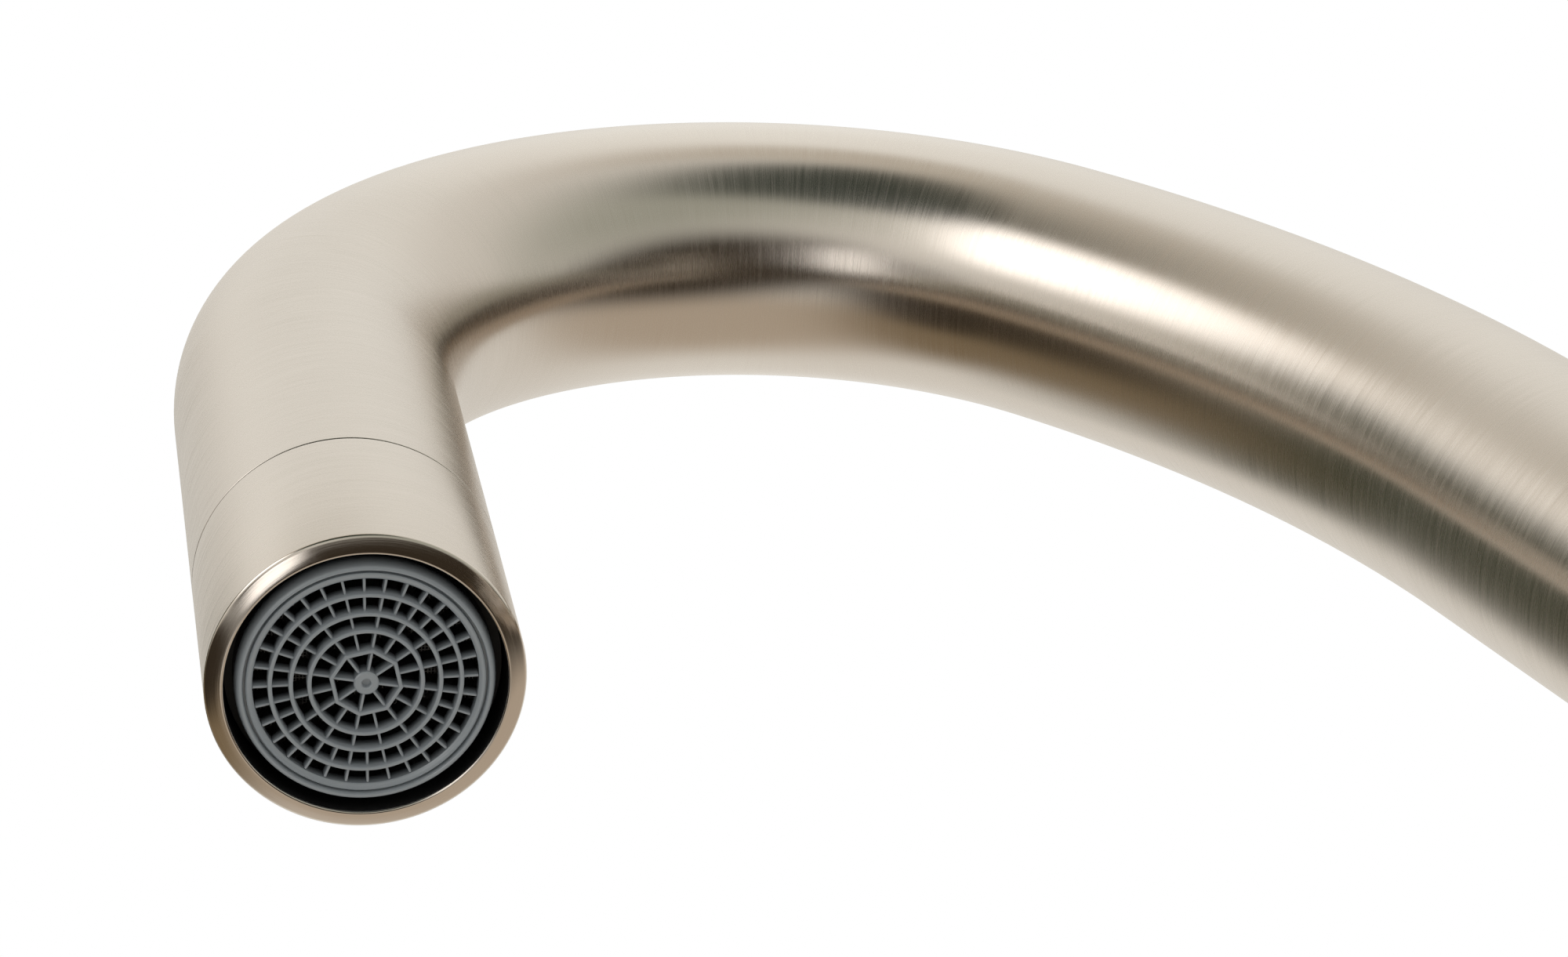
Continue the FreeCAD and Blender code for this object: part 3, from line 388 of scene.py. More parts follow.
nickel = brushedNickel("brushedNickel", 0.26, 0.75)
polishedNickel = brushedNickel("polishedNickel", 0.15, 0.3)
plainNickel = finish("plainNickel", (0.66, 0.60, 0.54), (0.72, 0.665, 0.60), 0.3, 0.06, 1.0, grain=200)
brass = finish("turnedBrass", (0.62, 0.44, 0.20), (0.52, 0.36, 0.16), 0.32, 0.1, 1.0, grain=250, fine=2600)
copper = finish("drawnCopper", (0.72, 0.40, 0.26), (0.58, 0.30, 0.19), 0.3, 0.1, 1.0, grain=120,
                stretch=(1, 1, 0.1))
steel = finish("plainSteel", (0.55, 0.55, 0.54), (0.46, 0.46, 0.46), 0.28, 0.08, 1.0, grain=300, fine=3500)
magnetMetal = finish("sinteredMagnet", (0.30, 0.30, 0.31), (0.22, 0.22, 0.23), 0.45, 0.1, 0.9, grain=900)
greyPlastic = finish("greyAcetal", (0.235, 0.255, 0.268), (0.265, 0.285, 0.298), 0.26, 0.06, grain=500,
                     fine=5000, bump=0.00001, Specular_IOR_Level=0.55)
whitePlastic = finish("whiteAcetal", (0.72, 0.71, 0.68), (0.66, 0.65, 0.61), 0.4, 0.06, grain=300, fine=4000,
                      bump=0.00001, Subsurface_Weight=0.05)
darkPlastic = finish("blackNylon", (0.022, 0.022, 0.024), (0.034, 0.034, 0.036), 0.45, grain=400, fine=4000)
ceramic = finish("sinteredAlumina", (0.80, 0.78, 0.73), (0.74, 0.72, 0.67), 0.18, 0.05, grain=600, fine=6000,
                 bump=0.000005, Coat_Weight=0.3)
rubber = finish("blackRubber", (0.018, 0.018, 0.018), (0.030, 0.029, 0.028), 0.62, 0.1, grain=700, fine=3000,
                bump=0.00003)
# near-black painted shade, put on faces deep inside the wand, at the sleeve seam and on the aerator parts deep in
# the mouth
paintedShadeBlack = finish("paintedShade", (0.008, 0.008, 0.009), (0.013, 0.013, 0.014), 0.5, grain=400, fine=4000)
# the aerator's grey plastic, with painted shade deepening into its cells
jetPlastic = paintShadeInward(finish("jetAcetal", (0.27, 0.30, 0.33), (0.30, 0.33, 0.36), 0.22, 0.05, grain=500,
                                 fine=5000, bump=0.00001, Specular_IOR_Level=0.8), 0.9, 2.3)
hoseBraid = wovenHose("hoseBraid", False)
fedBraid = wovenHose("hoseBraidFed", True)
strainer = screenCloth()
slotMaterials = {"brushed_nickel": nickel, "brass": brass, "copper": copper, "steel": steel,
                 "magnet": magnetMetal, "grey_plastic": greyPlastic, "white_plastic": whitePlastic,
                 "dark_plastic": darkPlastic, "ceramic": ceramic, "rubber": rubber, "hose": hoseBraid}
print("materials made")


# spout tube: riser, wide sweep, tight bend and outlet leg; "under" keeps it inside the CAD tube's own facets
spout = {"sweepRadius": 142, "sweepAngle": math.radians(27.3), "bendRadius": 48,
         "bendAngle": math.radians(136.2), "riserTop": 251.4, "legLength": 60.65, "sleeve": 22.2,
         "wall": 1.5, "lip": 0.04, "under": 0.02, "sides": 128, "stepAngle": math.radians(1.2), "run": 6}
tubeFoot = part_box("spout_tube")[0].z / mm
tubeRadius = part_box("spout_tube")[1].x / mm - spout["under"]


def sweptTube(bm, radius, foot, leg, sides, stepAngle, lip=0):
    # sweeps a circle up the riser, round both bends and down the leg, and maps U along it and V around it
    layer = bm.loops.layers.uv.get("turning") or bm.loops.layers.uv.new("turning")
    place, heading, travelled = Vector((0, 0, foot)), Vector((0, 0, 1)), [0.0]
    ring = bmesh.ops.create_circle(bm, radius=radius, segments=sides,
                                   matrix=Matrix.Translation(place))["verts"]
    bm.verts.index_update()
    start = ring[0].index
    last = ring + edgesAmong(bm, ring)
    runs = [(spout["riserTop"] - foot, 0, 0),
            (spout["sweepAngle"] * spout["sweepRadius"], spout["sweepAngle"], spout["sweepRadius"]),
            (spout["bendAngle"] * spout["bendRadius"], spout["bendAngle"], spout["bendRadius"]),
            (leg - lip, 0, 0), (lip, 0, 0)]
    faces = []
    for length, turn, bend in runs:
        if length <= 0:
            continue
        steps = round(turn / stepAngle) if turn else math.ceil(length / spout["run"])
        middle = place + Vector((0, -heading.z, heading.y)) * bend
        step = Vector() if turn else heading * length / steps
        before = set(bm.faces)
        last = bmesh.ops.spin(bm, geom=last, cent=middle, axis=(1, 0, 0), dvec=step, angle=turn, steps=steps,
                              use_merge=False, use_duplicate=False)["geom_last"]
        faces += [face for face in bm.faces if face not in before]
        travelled += [travelled[-1] + length / steps * (count + 1) for count in range(steps)]
        rotation = Matrix.Rotation(turn, 3, "X")
        place = middle + rotation @ (place - middle) if turn else place + heading * length
        heading = rotation @ heading
    if lip:
        bmesh.ops.scale(bm, verts=onlyVerts(last), vec=(1 - lip / radius,) * 3,
                        space=Matrix.Translation(-place))
    bm.verts.index_update()
    for face in faces:
        places = [loop.vert.index - start for loop in face.loops]
        wraps = {spot % sides for spot in places} >= {0, sides - 1}
        for loop, spot in zip(face.loops, places):
            around = sides if wraps and spot % sides == 0 else spot % sides
            loop[layer].uv = (travelled[spot // sides] * mm, around / sides)


bm = bmesh.new()
leg = spout["legLength"] - spout["sleeve"]
sweptTube(bm, tubeRadius, tubeFoot, leg, spout["sides"], spout["stepAngle"], spout["lip"])
sweptTube(bm, tubeRadius - spout["wall"], tubeFoot, leg, spout["sides"], spout["stepAngle"])
for low in (True, False):
    rims = [edge for edge in bm.edges if edge.is_boundary and (edge.verts[0].co.z < tubeFoot + 1) == low]
    for face in bmesh.ops.bridge_loops(bm, edges=rims)["faces"]:
        face.material_index = 0 if low else 1
bmesh.ops.recalc_face_normals(bm, faces=bm.faces)
arch = makePiece("spoutArch", bm, Matrix.Scale(mm, 4), "spout", nickel, "brushed_nickel", "spout_tube")
# the end faces at the outlet, where the tube meets the sleeve, get near-black painted shade (slot 1)
arch.data.materials.append(paintedShadeBlack)
print("spout swept")


# wand sleeve with its ledge for the aerator; its rim is one wide bevel with both edges rounded
wand = {"length": 22, "mouth": 12.3, "rimHeight": 0.84, "ledge": 10.2, "ledgeStart": 12, "ledgeEnd": 14,
        "skin": 0.005, "seamShade": 0.05,
        "rimInner": ((0, 0.3), (0.02, 0.14), (0.08, 0.04), (0.18, 0), (0.3, 0.03), (0.85, 0.25)),
        "rimOuter": ((0.3, 0.5), (0.16, 0.57), (0.05, 0.68))}
mouth, length = wand["mouth"], wand["length"]
bm = spunSolid([(mouth, wand["ledgeStart"])]
               + [(mouth + outward, height) for outward, height in wand["rimInner"]]
               + [(tubeRadius - inward, height) for inward, height in wand["rimOuter"]]
               + [(tubeRadius, wand["rimHeight"]), (tubeRadius, length - spout["lip"]),
                  (tubeRadius - spout["lip"], length), (mouth, length), (mouth, wand["ledgeEnd"]),
                  (wand["ledge"], wand["ledgeEnd"]), (wand["ledge"], wand["ledgeStart"])], steps=160)
mapAround(bm)
# faces inside the mouth and at the seam take near-black painted shade; the rim faces take the polished nickel
for face in bm.faces:
    middle = face.calc_center_median()
    inside = math.hypot(middle.x, middle.y) < (mouth + wand["skin"]) * mm
    atSeam = middle.z > (length - wand["seamShade"]) * mm
    face.material_index = 2 if inside or atSeam else int(middle.z < wand["rimHeight"] * mm)
sleeve = makePiece("wandSleeve", bm, outletPlace, "wand", nickel, "brushed_nickel", "wand_shell", sharpest=40)
for material in (polishedNickel, paintedShadeBlack):
    sleeve.data.materials.append(material)


# aerator grid: ring walls and an octagon joined by rows of ribs
grid = {"front": 0.3, "back": 3.9, "outer": 11.37, "wall": 9.8, "rows": (8.5, 6.7, 5.1), "octagon": 3.26,
        "hub": 1.09, "wallWidth": 0.4, "rib": 0.24, "turn": 9.5, "counts": (8, 16, 16, 32, 32), "sink": 0.12,
        "edge": 0.12, "corner": (0.4, 0.2), "octagonFace": 0.1, "ribSink": 0.5, "innerRibSink": 0.3,
        "ribEdge": 0.07, "ribShort": 0.06, "ribInto": 0.19, "ribShy": 0.05,
        "border": ((9.8, 0.42), (9.9, 0.28), (10.05, 0.18), (10.25, 0.16), (10.38, 0.24), (10.43, 0.75),
                   (10.6, 0.75), (10.66, 0.12), (10.74, 0.02), (10.86, 0), (11, 0.05), (11.12, 0.2),
                   (11.22, 0.5), (11.3, 0.9), (11.37, 1.5)),
        "button": ((0, 0.5), (0.34, 0.45), (0.42, 0.1), (0.5, 0.04), (0.97, 0.04), (1.09, 0.16))}


def ringWall(inner, outer, front, edge):
    # the outline of one round wall; each top corner is cut in two steps
    across, down = (edge * share for share in grid["corner"])
    return [(inner, grid["back"]), (inner, front + edge), (inner + across, front + down),
            (inner + edge, front), (outer - edge, front), (outer - across, front + down),
            (outer, front + edge), (outer, grid["back"])]


def addInto(target, source):
    # copies one bmesh into another
    mesh = bpy.data.meshes.new("part")
    source.to_mesh(mesh)
    target.from_mesh(mesh)
    source.free()
    bpy.data.meshes.remove(mesh)


bm = bmesh.new()
front, back, edge = grid["front"], grid["back"], grid["edge"]
wallFront = front + grid["sink"]
addInto(bm, spunSolid([(grid["wall"], back)] + [(radius, front + depth) for radius, depth in grid["border"]]
                      + [(grid["outer"], back)], 128))
for row in grid["rows"]:
    addInto(bm, spunSolid(ringWall(row - grid["wallWidth"], row, wallFront, edge), 96))
addInto(bm, spunSolid([(0, back)] + [(radius, front + depth) for radius, depth in grid["button"]]
                      + [(grid["hub"], back)], 40))
addInto(bm, spunSolid(ringWall(grid["octagon"] - grid["wallWidth"], grid["octagon"], wallFront, edge), 8))
walls = (grid["hub"], grid["octagon"] - grid["octagonFace"], *reversed(grid["rows"]), grid["wall"])
for inner, outer, count in zip(walls, walls[1:], grid["counts"]):
    for index in range(count):
        rib = bmesh.new()
        ribFront = front + (grid["innerRibSink"] if inner == grid["hub"] else grid["ribSink"])
        ribBack = back - grid["ribShort"]
        start, end = inner - grid["ribInto"], outer - grid["ribShy"]
        middle = ((start + end) / 2, 0, (ribFront + ribBack) / 2)
        size = (end - start, grid["rib"], ribBack - ribFront)
        bmesh.ops.create_cube(rib, size=1, matrix=Matrix.Scale(mm, 4) @ Matrix.Translation(middle)
                              @ Matrix.Diagonal((*size, 1)))
        edges = [edge for edge in rib.edges if max(vert.co.z for vert in edge.verts) < middle[2] * mm
                 and abs(edge.verts[0].co.x - edge.verts[1].co.x) > 1e-5]
        bmesh.ops.bevel(rib, geom=edges, offset=grid["ribEdge"] * mm, affect="EDGES", segments=2, profile=0.5,
                        material=-1)
        bmesh.ops.rotate(rib, verts=rib.verts, cent=(0, 0, 0),
                         matrix=Matrix.Rotation(index * 2 * math.pi / count, 3, "Z"))
        addInto(bm, rib)
bmesh.ops.rotate(bm, verts=bm.verts, cent=(0, 0, 0),
                 matrix=Matrix.Rotation(math.radians(grid["turn"]), 3, "Z"))
makePiece("jetGrid", bm, outletPlace, "wand", jetPlastic, "grey_plastic", "aerator_grid", sharpest=35)
print("wand and aerator built")


# valve body: column and side boss in one casting
valve = {"radius": 25, "foot": 6, "top": 116, "edge": 1.5, "socket": 16, "socketFloor": 80, "hoseWay": 6.6,
         "shank": 17, "shankTop": 20, "bossRadius": 21, "bossEnd": 50, "blend": 2.4, "cavity": 17.7,
         "cavityFloor": 15.5, "nutBore": 19, "nutFloor": 40.5, "stopRadius": 2, "stopHeight": 102.5,
         "stopStart": 14, "stopEnd": 27, "bevel": 0.4, "sides": 128, "blendSteps": 8, "blendSink": 0.01,
         "cutPast": 1, "bossFace": ((0.5, 0), (0.15, 0.1), (0, 0.5), (0, 12)), "bossRoot": (2, 5)}
outer, bevel = valve["radius"], valve["bevel"]
topEdge = arc(outer - valve["edge"], valve["edge"], 90, 0, valve["top"] - valve["edge"], 5)
bm = spunSolid([(valve["shank"], valve["foot"]), (outer - bevel, valve["foot"]),
                (outer, valve["foot"] + bevel)]
               + topEdge + [(valve["socket"] + bevel, valve["top"]), (valve["socket"], valve["top"] - bevel),
                            (valve["socket"], valve["socketFloor"]), (valve["hoseWay"], valve["socketFloor"]),
                            (valve["hoseWay"], valve["shankTop"]), (valve["shank"], valve["shankTop"])],
               steps=valve["sides"])
mapAround(bm)
column = makePiece("valveColumn", bm, deckPlace, "valve", nickel, "brushed_nickel", "valve_body")


def bossRing(index):
    # gives a function of the angle around: the reach and height of one ring of the boss, in millimetres.
    # The boss flares where it meets the column, so the two run into each other
    face, steps = valve["bossFace"], valve["blendSteps"]
    if index < len(face):
        inset, depth = face[index]
        return lambda around: (valve["bossRadius"] - inset, valve["bossEnd"] - depth)
    if index > len(face) + steps:
        inset, height = valve["bossRoot"]
        return lambda around: (valve["bossRadius"] - inset, height)
    turn = math.pi / 2 * (index - len(face)) / steps
    reach = valve["bossRadius"] + valve["blend"] * (1 - math.cos(turn))
    rise = valve["blend"] * (1 - math.sin(turn)) - valve["blendSink"]
    return lambda around: (reach, math.sqrt(outer ** 2 - (reach * math.sin(around)) ** 2) + rise)


bm = bmesh.new()
last = bmesh.ops.create_circle(bm, cap_ends=True, radius=valve["bossRadius"] - valve["bossFace"][0][0],
                               segments=valve["sides"])["verts"]
rings = [last]
for index in range(len(valve["bossFace"]) + valve["blendSteps"] + 1):
    last = onlyVerts(bmesh.ops.extrude_edge_only(bm, edges=edgesAmong(bm, last))["geom"])
    rings.append(last)
for index, ring in enumerate(rings):
    placeOf = bossRing(index)
    for vert in ring:
        around = math.atan2(vert.co.y, vert.co.x)
        reach, height = placeOf(around)
        vert.co = (reach * mm * math.cos(around), reach * mm * math.sin(around), height * mm)
bmesh.ops.holes_fill(bm, edges=bm.edges)
dropSeams(bm)
mapAround(bm)
boss = makeObject("tool", bm, bossPlace)
combine(column, boss, "UNION")
stopPlace = placeAlong((0, 0, valve["stopHeight"] * mm), (0, 1, 0))
for radius, low, high, place, steps in (
        (valve["cavity"], valve["cavityFloor"], valve["bossEnd"] + valve["cutPast"], bossPlace, 96),
        (valve["nutBore"], valve["nutFloor"], valve["bossEnd"] + valve["cutPast"], bossPlace, 96),
        (valve["stopRadius"], valve["stopStart"], valve["stopEnd"], stopPlace, 32)):
    combine(column, rodTool(radius, low, high, place, steps), "DIFFERENCE")
print("valve body cast")


# handle: trim dome, hollow-faced hub, lever rod and its screw cap
handle = {"dome": 23.8, "domeWall": 2.6, "opening": 10.2, "openingEdge": 0.3, "domeEnd": 11.5, "spigot": 10,
          "spigotRadius": 19, "spigotWall": 1.2, "hub": 17.4, "hubStart": 17.8, "hubEnd": 41.92, "hubEdge": 3,
          "hubBevel": 0.25, "hollow": 24.3, "rod": 4.2, "rodStart": 6.5, "rodLength": 108, "crown": 1.8,
          "rodDepth": 32, "cap": 3, "capThickness": 1.6, "capRecess": 0.4, "capGap": 0.4, "capSlack": 0.03,
          "capBevel": 0.15, "capDish": (0.7, 0.9, 0.08, 0.1), "cutPast": 2}
outside, inside = handle["dome"], handle["dome"] - handle["domeWall"]
opening, openingEdge = handle["opening"], handle["openingEdge"]
degrees = math.degrees
domeOutline = (arc(0, outside, degrees(math.asin((opening + openingEdge) / outside)),
                   degrees(math.acos(handle["domeEnd"] / outside)), steps=20)
               + [(handle["spigotRadius"], handle["domeEnd"]), (handle["spigotRadius"], handle["spigot"]),
                  (handle["spigotRadius"] - handle["spigotWall"], handle["spigot"])]
               + arc(0, inside, degrees(math.acos(handle["domeEnd"] / inside)),
                     degrees(math.asin(opening / inside)), steps=12)
               + [(opening, outside * math.cos(math.asin(opening / outside)) - openingEdge)])
bm = spunSolid(domeOutline, 128)
mapAround(bm)
makePiece("domeTrim", bm, pivotPlace, "valve", nickel, "brushed_nickel", "trim_dome")

hollowEdge = degrees(math.acos(handle["hubStart"] / handle["hollow"]))
bm = spunSolid(arc(0, handle["hollow"], 0, hollowEdge, steps=12)
               + [(handle["hub"] - handle["hubBevel"], handle["hubStart"]),
                  (handle["hub"], handle["hubStart"] + handle["hubBevel"])]
               + arc(handle["hub"] - handle["hubEdge"], handle["hubEdge"], 90, 0,
                     handle["hubEnd"] - handle["hubEdge"], 8) + [(0, handle["hubEnd"])], 128)
mapAround(bm)
hub = makePiece("leverHub", bm, stemPlace, "lever", nickel, "brushed_nickel", "handle_hub")
crossPlace = (stemPlace @ Matrix.Translation((0, 0, handle["rodDepth"] * mm))
              @ Matrix.Rotation(math.pi / 2, 4, "Y"))
capHole = rodTool(handle["cap"], -handle["hub"] - handle["cutPast"], handle["capThickness"] - handle["hub"],
                  crossPlace, 48)
combine(hub, capHole, "DIFFERENCE")

rodEnd = handle["rodStart"] + handle["rodLength"]
bm = spunSolid([(0, handle["rodStart"]), (handle["rod"], handle["rodStart"])]
               + arc(handle["rod"] - handle["crown"], handle["crown"], 90, 0, rodEnd - handle["crown"], 8)
               + [(0, rodEnd)], 64)
mapAround(bm)
makePiece("leverStick", bm, crossPlace, "lever", nickel, "brushed_nickel", "lever_rod")

capTop = handle["hub"] - handle["capRecess"]
capLow = capTop - handle["capThickness"] + handle["capGap"]
capReach = handle["cap"] - handle["capSlack"]
land, dish, dishEdge, dishDepth = handle["capDish"]
bm = spunSolid([(0, capLow), (capReach, capLow), (capReach, capTop - handle["capBevel"]),
                (capReach - handle["capBevel"], capTop), (handle["cap"] - land, capTop),
                (handle["cap"] - dish, capTop - dishEdge), (0, capTop - dishDepth)], 48)
mapAround(bm)
makePiece("screwPlug", bm, crossPlace @ Matrix.Rotation(math.pi, 4, "X"), "lever", darkPlastic,
          "dark_plastic", "screw_cap")
print("handle built")


# base flange
flange = {"radius": 28, "height": 6, "edge": 2, "bore": 17.4, "recessInner": 19.3, "recessOuter": 26.2,
          "recess": 1.6, "bevel": 0.3}
bm = spunSolid([(flange["bore"], 0), (flange["recessInner"], 0), (flange["recessInner"], flange["recess"]),
                (flange["recessOuter"], flange["recess"]), (flange["recessOuter"], 0),
                (flange["radius"] - flange["bevel"], 0), (flange["radius"], flange["bevel"])]
               + arc(flange["radius"] - flange["edge"], flange["edge"], 90, 0,
                     flange["height"] - flange["edge"], 6)
               + [(flange["bore"], flange["height"])], 128)
mapAround(bm)
makePiece("deckFlange", bm, deckPlace, "valve", nickel, "brushed_nickel", "base_flange")


# fixings under the deck: threaded shank, washers, nut and its clamping screws
fixing = {"shank": 17, "shankBore": 15.4, "shankLow": -60, "shankHigh": 20, "pitch": 1.5,
          "washer": 27, "washerBore": 17.4, "rubberHigh": -30, "rubberLow": -33, "steelLow": -35,
          "rubberEdge": 0.5, "steelEdge": 0.25, "nutLow": -45, "nut": 26, "nutEdge": 0.6, "notches": 6,
          "notch": (4, 5, 16), "notchHeight": -41, "notchStart": 30, "screws": 3, "screw": 2.5,
          "screwPitch": 0.8, "screwRing": 22, "screwLow": -55, "head": 4, "headHeight": 3, "headEdge": 1.2,
          "headBevel": 0.2, "slot": (1.1, 9, 2.6)}
bm = threadedRod(fixing["shank"], fixing["shankLow"], fixing["shankHigh"], fixing["pitch"],
                 fixing["shankBore"], 72)
makePiece("threadedShank", bm, deckPlace, "valve", brass, "brass", "shank", sharpest=50)
for name, low, high, edge, material, slotName, node in (
        ("deckRubber", "rubberLow", "rubberHigh", "rubberEdge", rubber, "rubber", "rubber_washer"),
        ("deckWasher", "steelLow", "rubberLow", "steelEdge", steel, "steel", "steel_washer")):
    bm = spunSolid([(fixing["washerBore"], fixing[low]), (fixing["washer"], fixing[low]),
                    (fixing["washer"], fixing[high]), (fixing["washerBore"], fixing[high])], 96)
    softenEdges(bm, fixing[edge])
    makePiece(name, bm, deckPlace, "valve", material, slotName, node)
bm = spunSolid([(fixing["shank"], fixing["nutLow"]), (fixing["nut"], fixing["nutLow"]),
                (fixing["nut"], fixing["steelLow"]), (fixing["shank"], fixing["steelLow"])], 96)
softenEdges(bm, fixing["nutEdge"])
nut = makePiece("clampNut", bm, deckPlace, "valve", brass, "brass", "mounting_nut")
for index in range(fixing["notches"]):
    turn = Matrix.Rotation(math.radians(fixing["notchStart"] + index * 360 / fixing["notches"]), 4, "Z")
    seat = Matrix.Translation((fixing["nut"] * mm, 0, fixing["notchHeight"] * mm))
    notch = bmesh.new()
    bmesh.ops.create_cube(notch, size=1, matrix=turn @ seat
                          @ Matrix.Diagonal((*(side * mm for side in fixing["notch"]), 1)))
    combine(nut, makeObject("tool", notch, deckPlace), "DIFFERENCE")
bm = bmesh.new()
slots = bmesh.new()
headTop, headLow = fixing["screwLow"], fixing["screwLow"] - fixing["headHeight"]
for index in range(fixing["screws"]):
    turn = (Matrix.Rotation(math.radians(index * 360 / fixing["screws"]), 4, "Z")
            @ Matrix.Translation((fixing["screwRing"] * mm, 0, 0)))
    thread = threadedRod(fixing["screw"], fixing["screwLow"], fixing["steelLow"], fixing["screwPitch"], 0, 24)
    head = spunSolid([(0, headLow)]
                     + arc(fixing["head"] - fixing["headEdge"], fixing["headEdge"], 180, 90,
                           headLow + fixing["headEdge"], 5)
                     + [(fixing["head"], headTop - fixing["headBevel"]),
                        (fixing["head"] - fixing["headBevel"], headTop), (0, headTop)], 48)
    for made in (thread, head):
        made.transform(turn)
        addInto(bm, made)
    bmesh.ops.create_cube(slots, size=1, matrix=turn @ Matrix.Translation((0, 0, headLow * mm))
                          @ Matrix.Diagonal((*(side * mm for side in fixing["slot"]), 1)))
screws = makePiece("clampScrews", bm, deckPlace, "valve", steel, "steel", "nut_screws", sharpest=40)
combine(screws, makeObject("tool", slots, deckPlace), "DIFFERENCE")
print("fixings built")


# hot and cold tails end in a threaded fitting with a hexagon
tails = {"radius": 4, "bore": 3, "edge": 0.15, "collar": 7.9, "collarFace": 0.25, "collarEdge": 0.5,
         "collarBore": 3.5, "collarHigh": -162, "into": 0.05, "thread": 7.14, "threadPitch": 1.06,
         "threadLow": -182, "threadHigh": -170}


def tailPlace(node):
    low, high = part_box(node)
    middle = (low + high) / 2
    return low.z / mm, high.z / mm, Matrix.Translation((middle.x, middle.y, 0))


collar, foot, top = tails["collar"], tails["threadHigh"], tails["collarHigh"]
face, edge = tails["collarFace"], tails["collarEdge"]
for side in ("hot", "cold"):
    bm = threadedRod(tails["thread"], tails["threadLow"], foot, tails["threadPitch"], tails["bore"], 40)
    addInto(bm, spunSolid([(tails["collarBore"], foot - tails["into"]), (collar - face, foot),
                           (collar, foot + edge), (collar, top - edge), (collar - face, top),
                           (tails["radius"], top)], 6))
    place = tailPlace(f"{side}_fitting")[2]
    makePiece(f"{side}Fitting", bm, place, "valve", brass, "brass", f"{side}_fitting")
for side in ("hot", "cold", "mixed"):
    low, high, place = tailPlace(f"{side}_tail")
    bm = spunSolid([(tails["bore"], low), (tails["radius"] - tails["edge"], low),
                    (tails["radius"], low + tails["edge"]), (tails["radius"], high),
                    (tails["bore"], high)], 48)
    makePiece(f"{side}Tube", bm, place, "valve", copper, "copper", f"{side}_tail")
print("tails built")


# pull parts seen when the wand is out: hexagon hose nut, crimped ferrule, and the hose itself
pull = {"nutBore": 5.7, "thread": 7.2, "threadBevel": 0.4, "nutStart": 37.5, "neckEnd": 44, "into": 0.1,
        "head": 8.8, "headEnd": 50, "headFront": (0.3, 0.5), "headBack": (0.9, 1), "throat": 4,
        "ferrule": 7.2, "ferruleStart": 50.3, "ferruleEnd": 60, "ferruleBore": 6, "ferruleFloor": 52,
        "ferruleEdge": 0.5, "ferruleLip": 0.4, "neckSlack": 0.3, "crimps": (52.6, 55.2, 57.8),
        "crimpDepth": 0.45, "crimpHalf": (0.7, 0.25), "hose": 6, "hoseSlack": 0.02, "hoseBore": 4,
        "hoseLow": -75, "hoseSides": 64, "hoseStep": math.radians(2.5), "fedStart": 52.2, "fedRing": 0.05}
thread, neckEnd, head, headEnd = pull["thread"], pull["neckEnd"], pull["head"], pull["headEnd"]
bevel, front, back = pull["threadBevel"], pull["headFront"], pull["headBack"]
bm = spunSolid([(pull["nutBore"], pull["nutStart"]), (thread - bevel, pull["nutStart"]),
                (thread, pull["nutStart"] + bevel), (thread, neckEnd + pull["into"]),
                (pull["nutBore"], neckEnd + pull["into"])], 64)
addInto(bm, spunSolid([(pull["throat"], neckEnd), (head - front[0], neckEnd), (head, neckEnd + front[1]),
                       (head, headEnd - back[1]), (head - back[0], headEnd), (pull["throat"], headEnd)], 6))
makePiece("hoseNut", bm, outletPlace, "hose", brass, "brass", "hose_nut")
reach, start, end, edge = pull["ferrule"], pull["ferruleStart"], pull["ferruleEnd"], pull["ferruleEdge"]
neck, stop, squeezed = pull["throat"] - pull["neckSlack"], pull["ferruleFloor"], reach - pull["crimpDepth"]
outerHalf, innerHalf = pull["crimpHalf"]
ferrule = [(neck, start), (reach - edge, start), (reach, start + edge)]
for crimp in pull["crimps"]:
    ferrule += [(reach, crimp - outerHalf), (squeezed, crimp - innerHalf),
                (squeezed, crimp + innerHalf), (reach, crimp + outerHalf)]
ferrule += [(reach, end - edge), (reach - pull["ferruleLip"], end), (pull["ferruleBore"], end),
            (pull["ferruleBore"], stop), (neck, stop)]
bm = spunSolid(ferrule, 80)
mapAround(bm)
makePiece("crimpFerrule", bm, outletPlace, "hose", steel, "steel", "hose_ferrule", sharpest=50)

# the hose rises inside the spout and stays there; its last straight stretch, the part that feeds out with the
# wand, is a separate piece, not attached to any body
bm = bmesh.new()
for radius in (pull["hose"] - pull["hoseSlack"], pull["hoseBore"]):
    sweptTube(bm, radius, pull["hoseLow"], 0, pull["hoseSides"], pull["hoseStep"])
for low in (True, False):
    rims = [edge for edge in bm.edges if edge.is_boundary and (edge.verts[0].co.z < 0) == low]
    bmesh.ops.bridge_loops(bm, edges=rims)
bmesh.ops.recalc_face_normals(bm, faces=bm.faces)
makePiece("risingHose", bm, Matrix.Scale(mm, 4), "spout", hoseBraid, "hose", "pull_hose")
bendEnd, ring = spout["legLength"], pull["fedRing"]
bm = spunSolid([(pull["hoseBore"], pull["fedStart"]), (pull["hose"], pull["fedStart"]),
                (pull["hose"], end + ring), (pull["hose"], bendEnd - ring), (pull["hose"], bendEnd),
                (pull["hoseBore"], bendEnd), (pull["hoseBore"], bendEnd - ring),
                (pull["hoseBore"], end + ring)], pull["hoseSides"])
mapAround(bm)
fedHose = makePiece("fedHose", bm, outletPlace, None, fedBraid, "hose", "hose_end")
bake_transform(fedHose)
print("pull parts built")


# every other piece keeps its shape from the frame and takes its finish by slot
finishes = {part["node"]: part["material_slot"] for part in frame["record"]["subparts"]}
# the aerator case and flow regulator, deep in the mouth, take the near-black painted shade
special = {"aerator_case": paintedShadeBlack, "aerator_screens": strainer, "flow_regulator": paintedShadeBlack,
           "aerator_filter": whitePlastic}
for name, node in nodes.items():
    if node.hide_render:
        continue
    material = special.get(name, slotMaterials[finishes[name]])
    if material is nickel:
        material = plainNickel
    for index in range(len(node.data.materials)):
        node.data.materials[index] = material
print("finishes given")


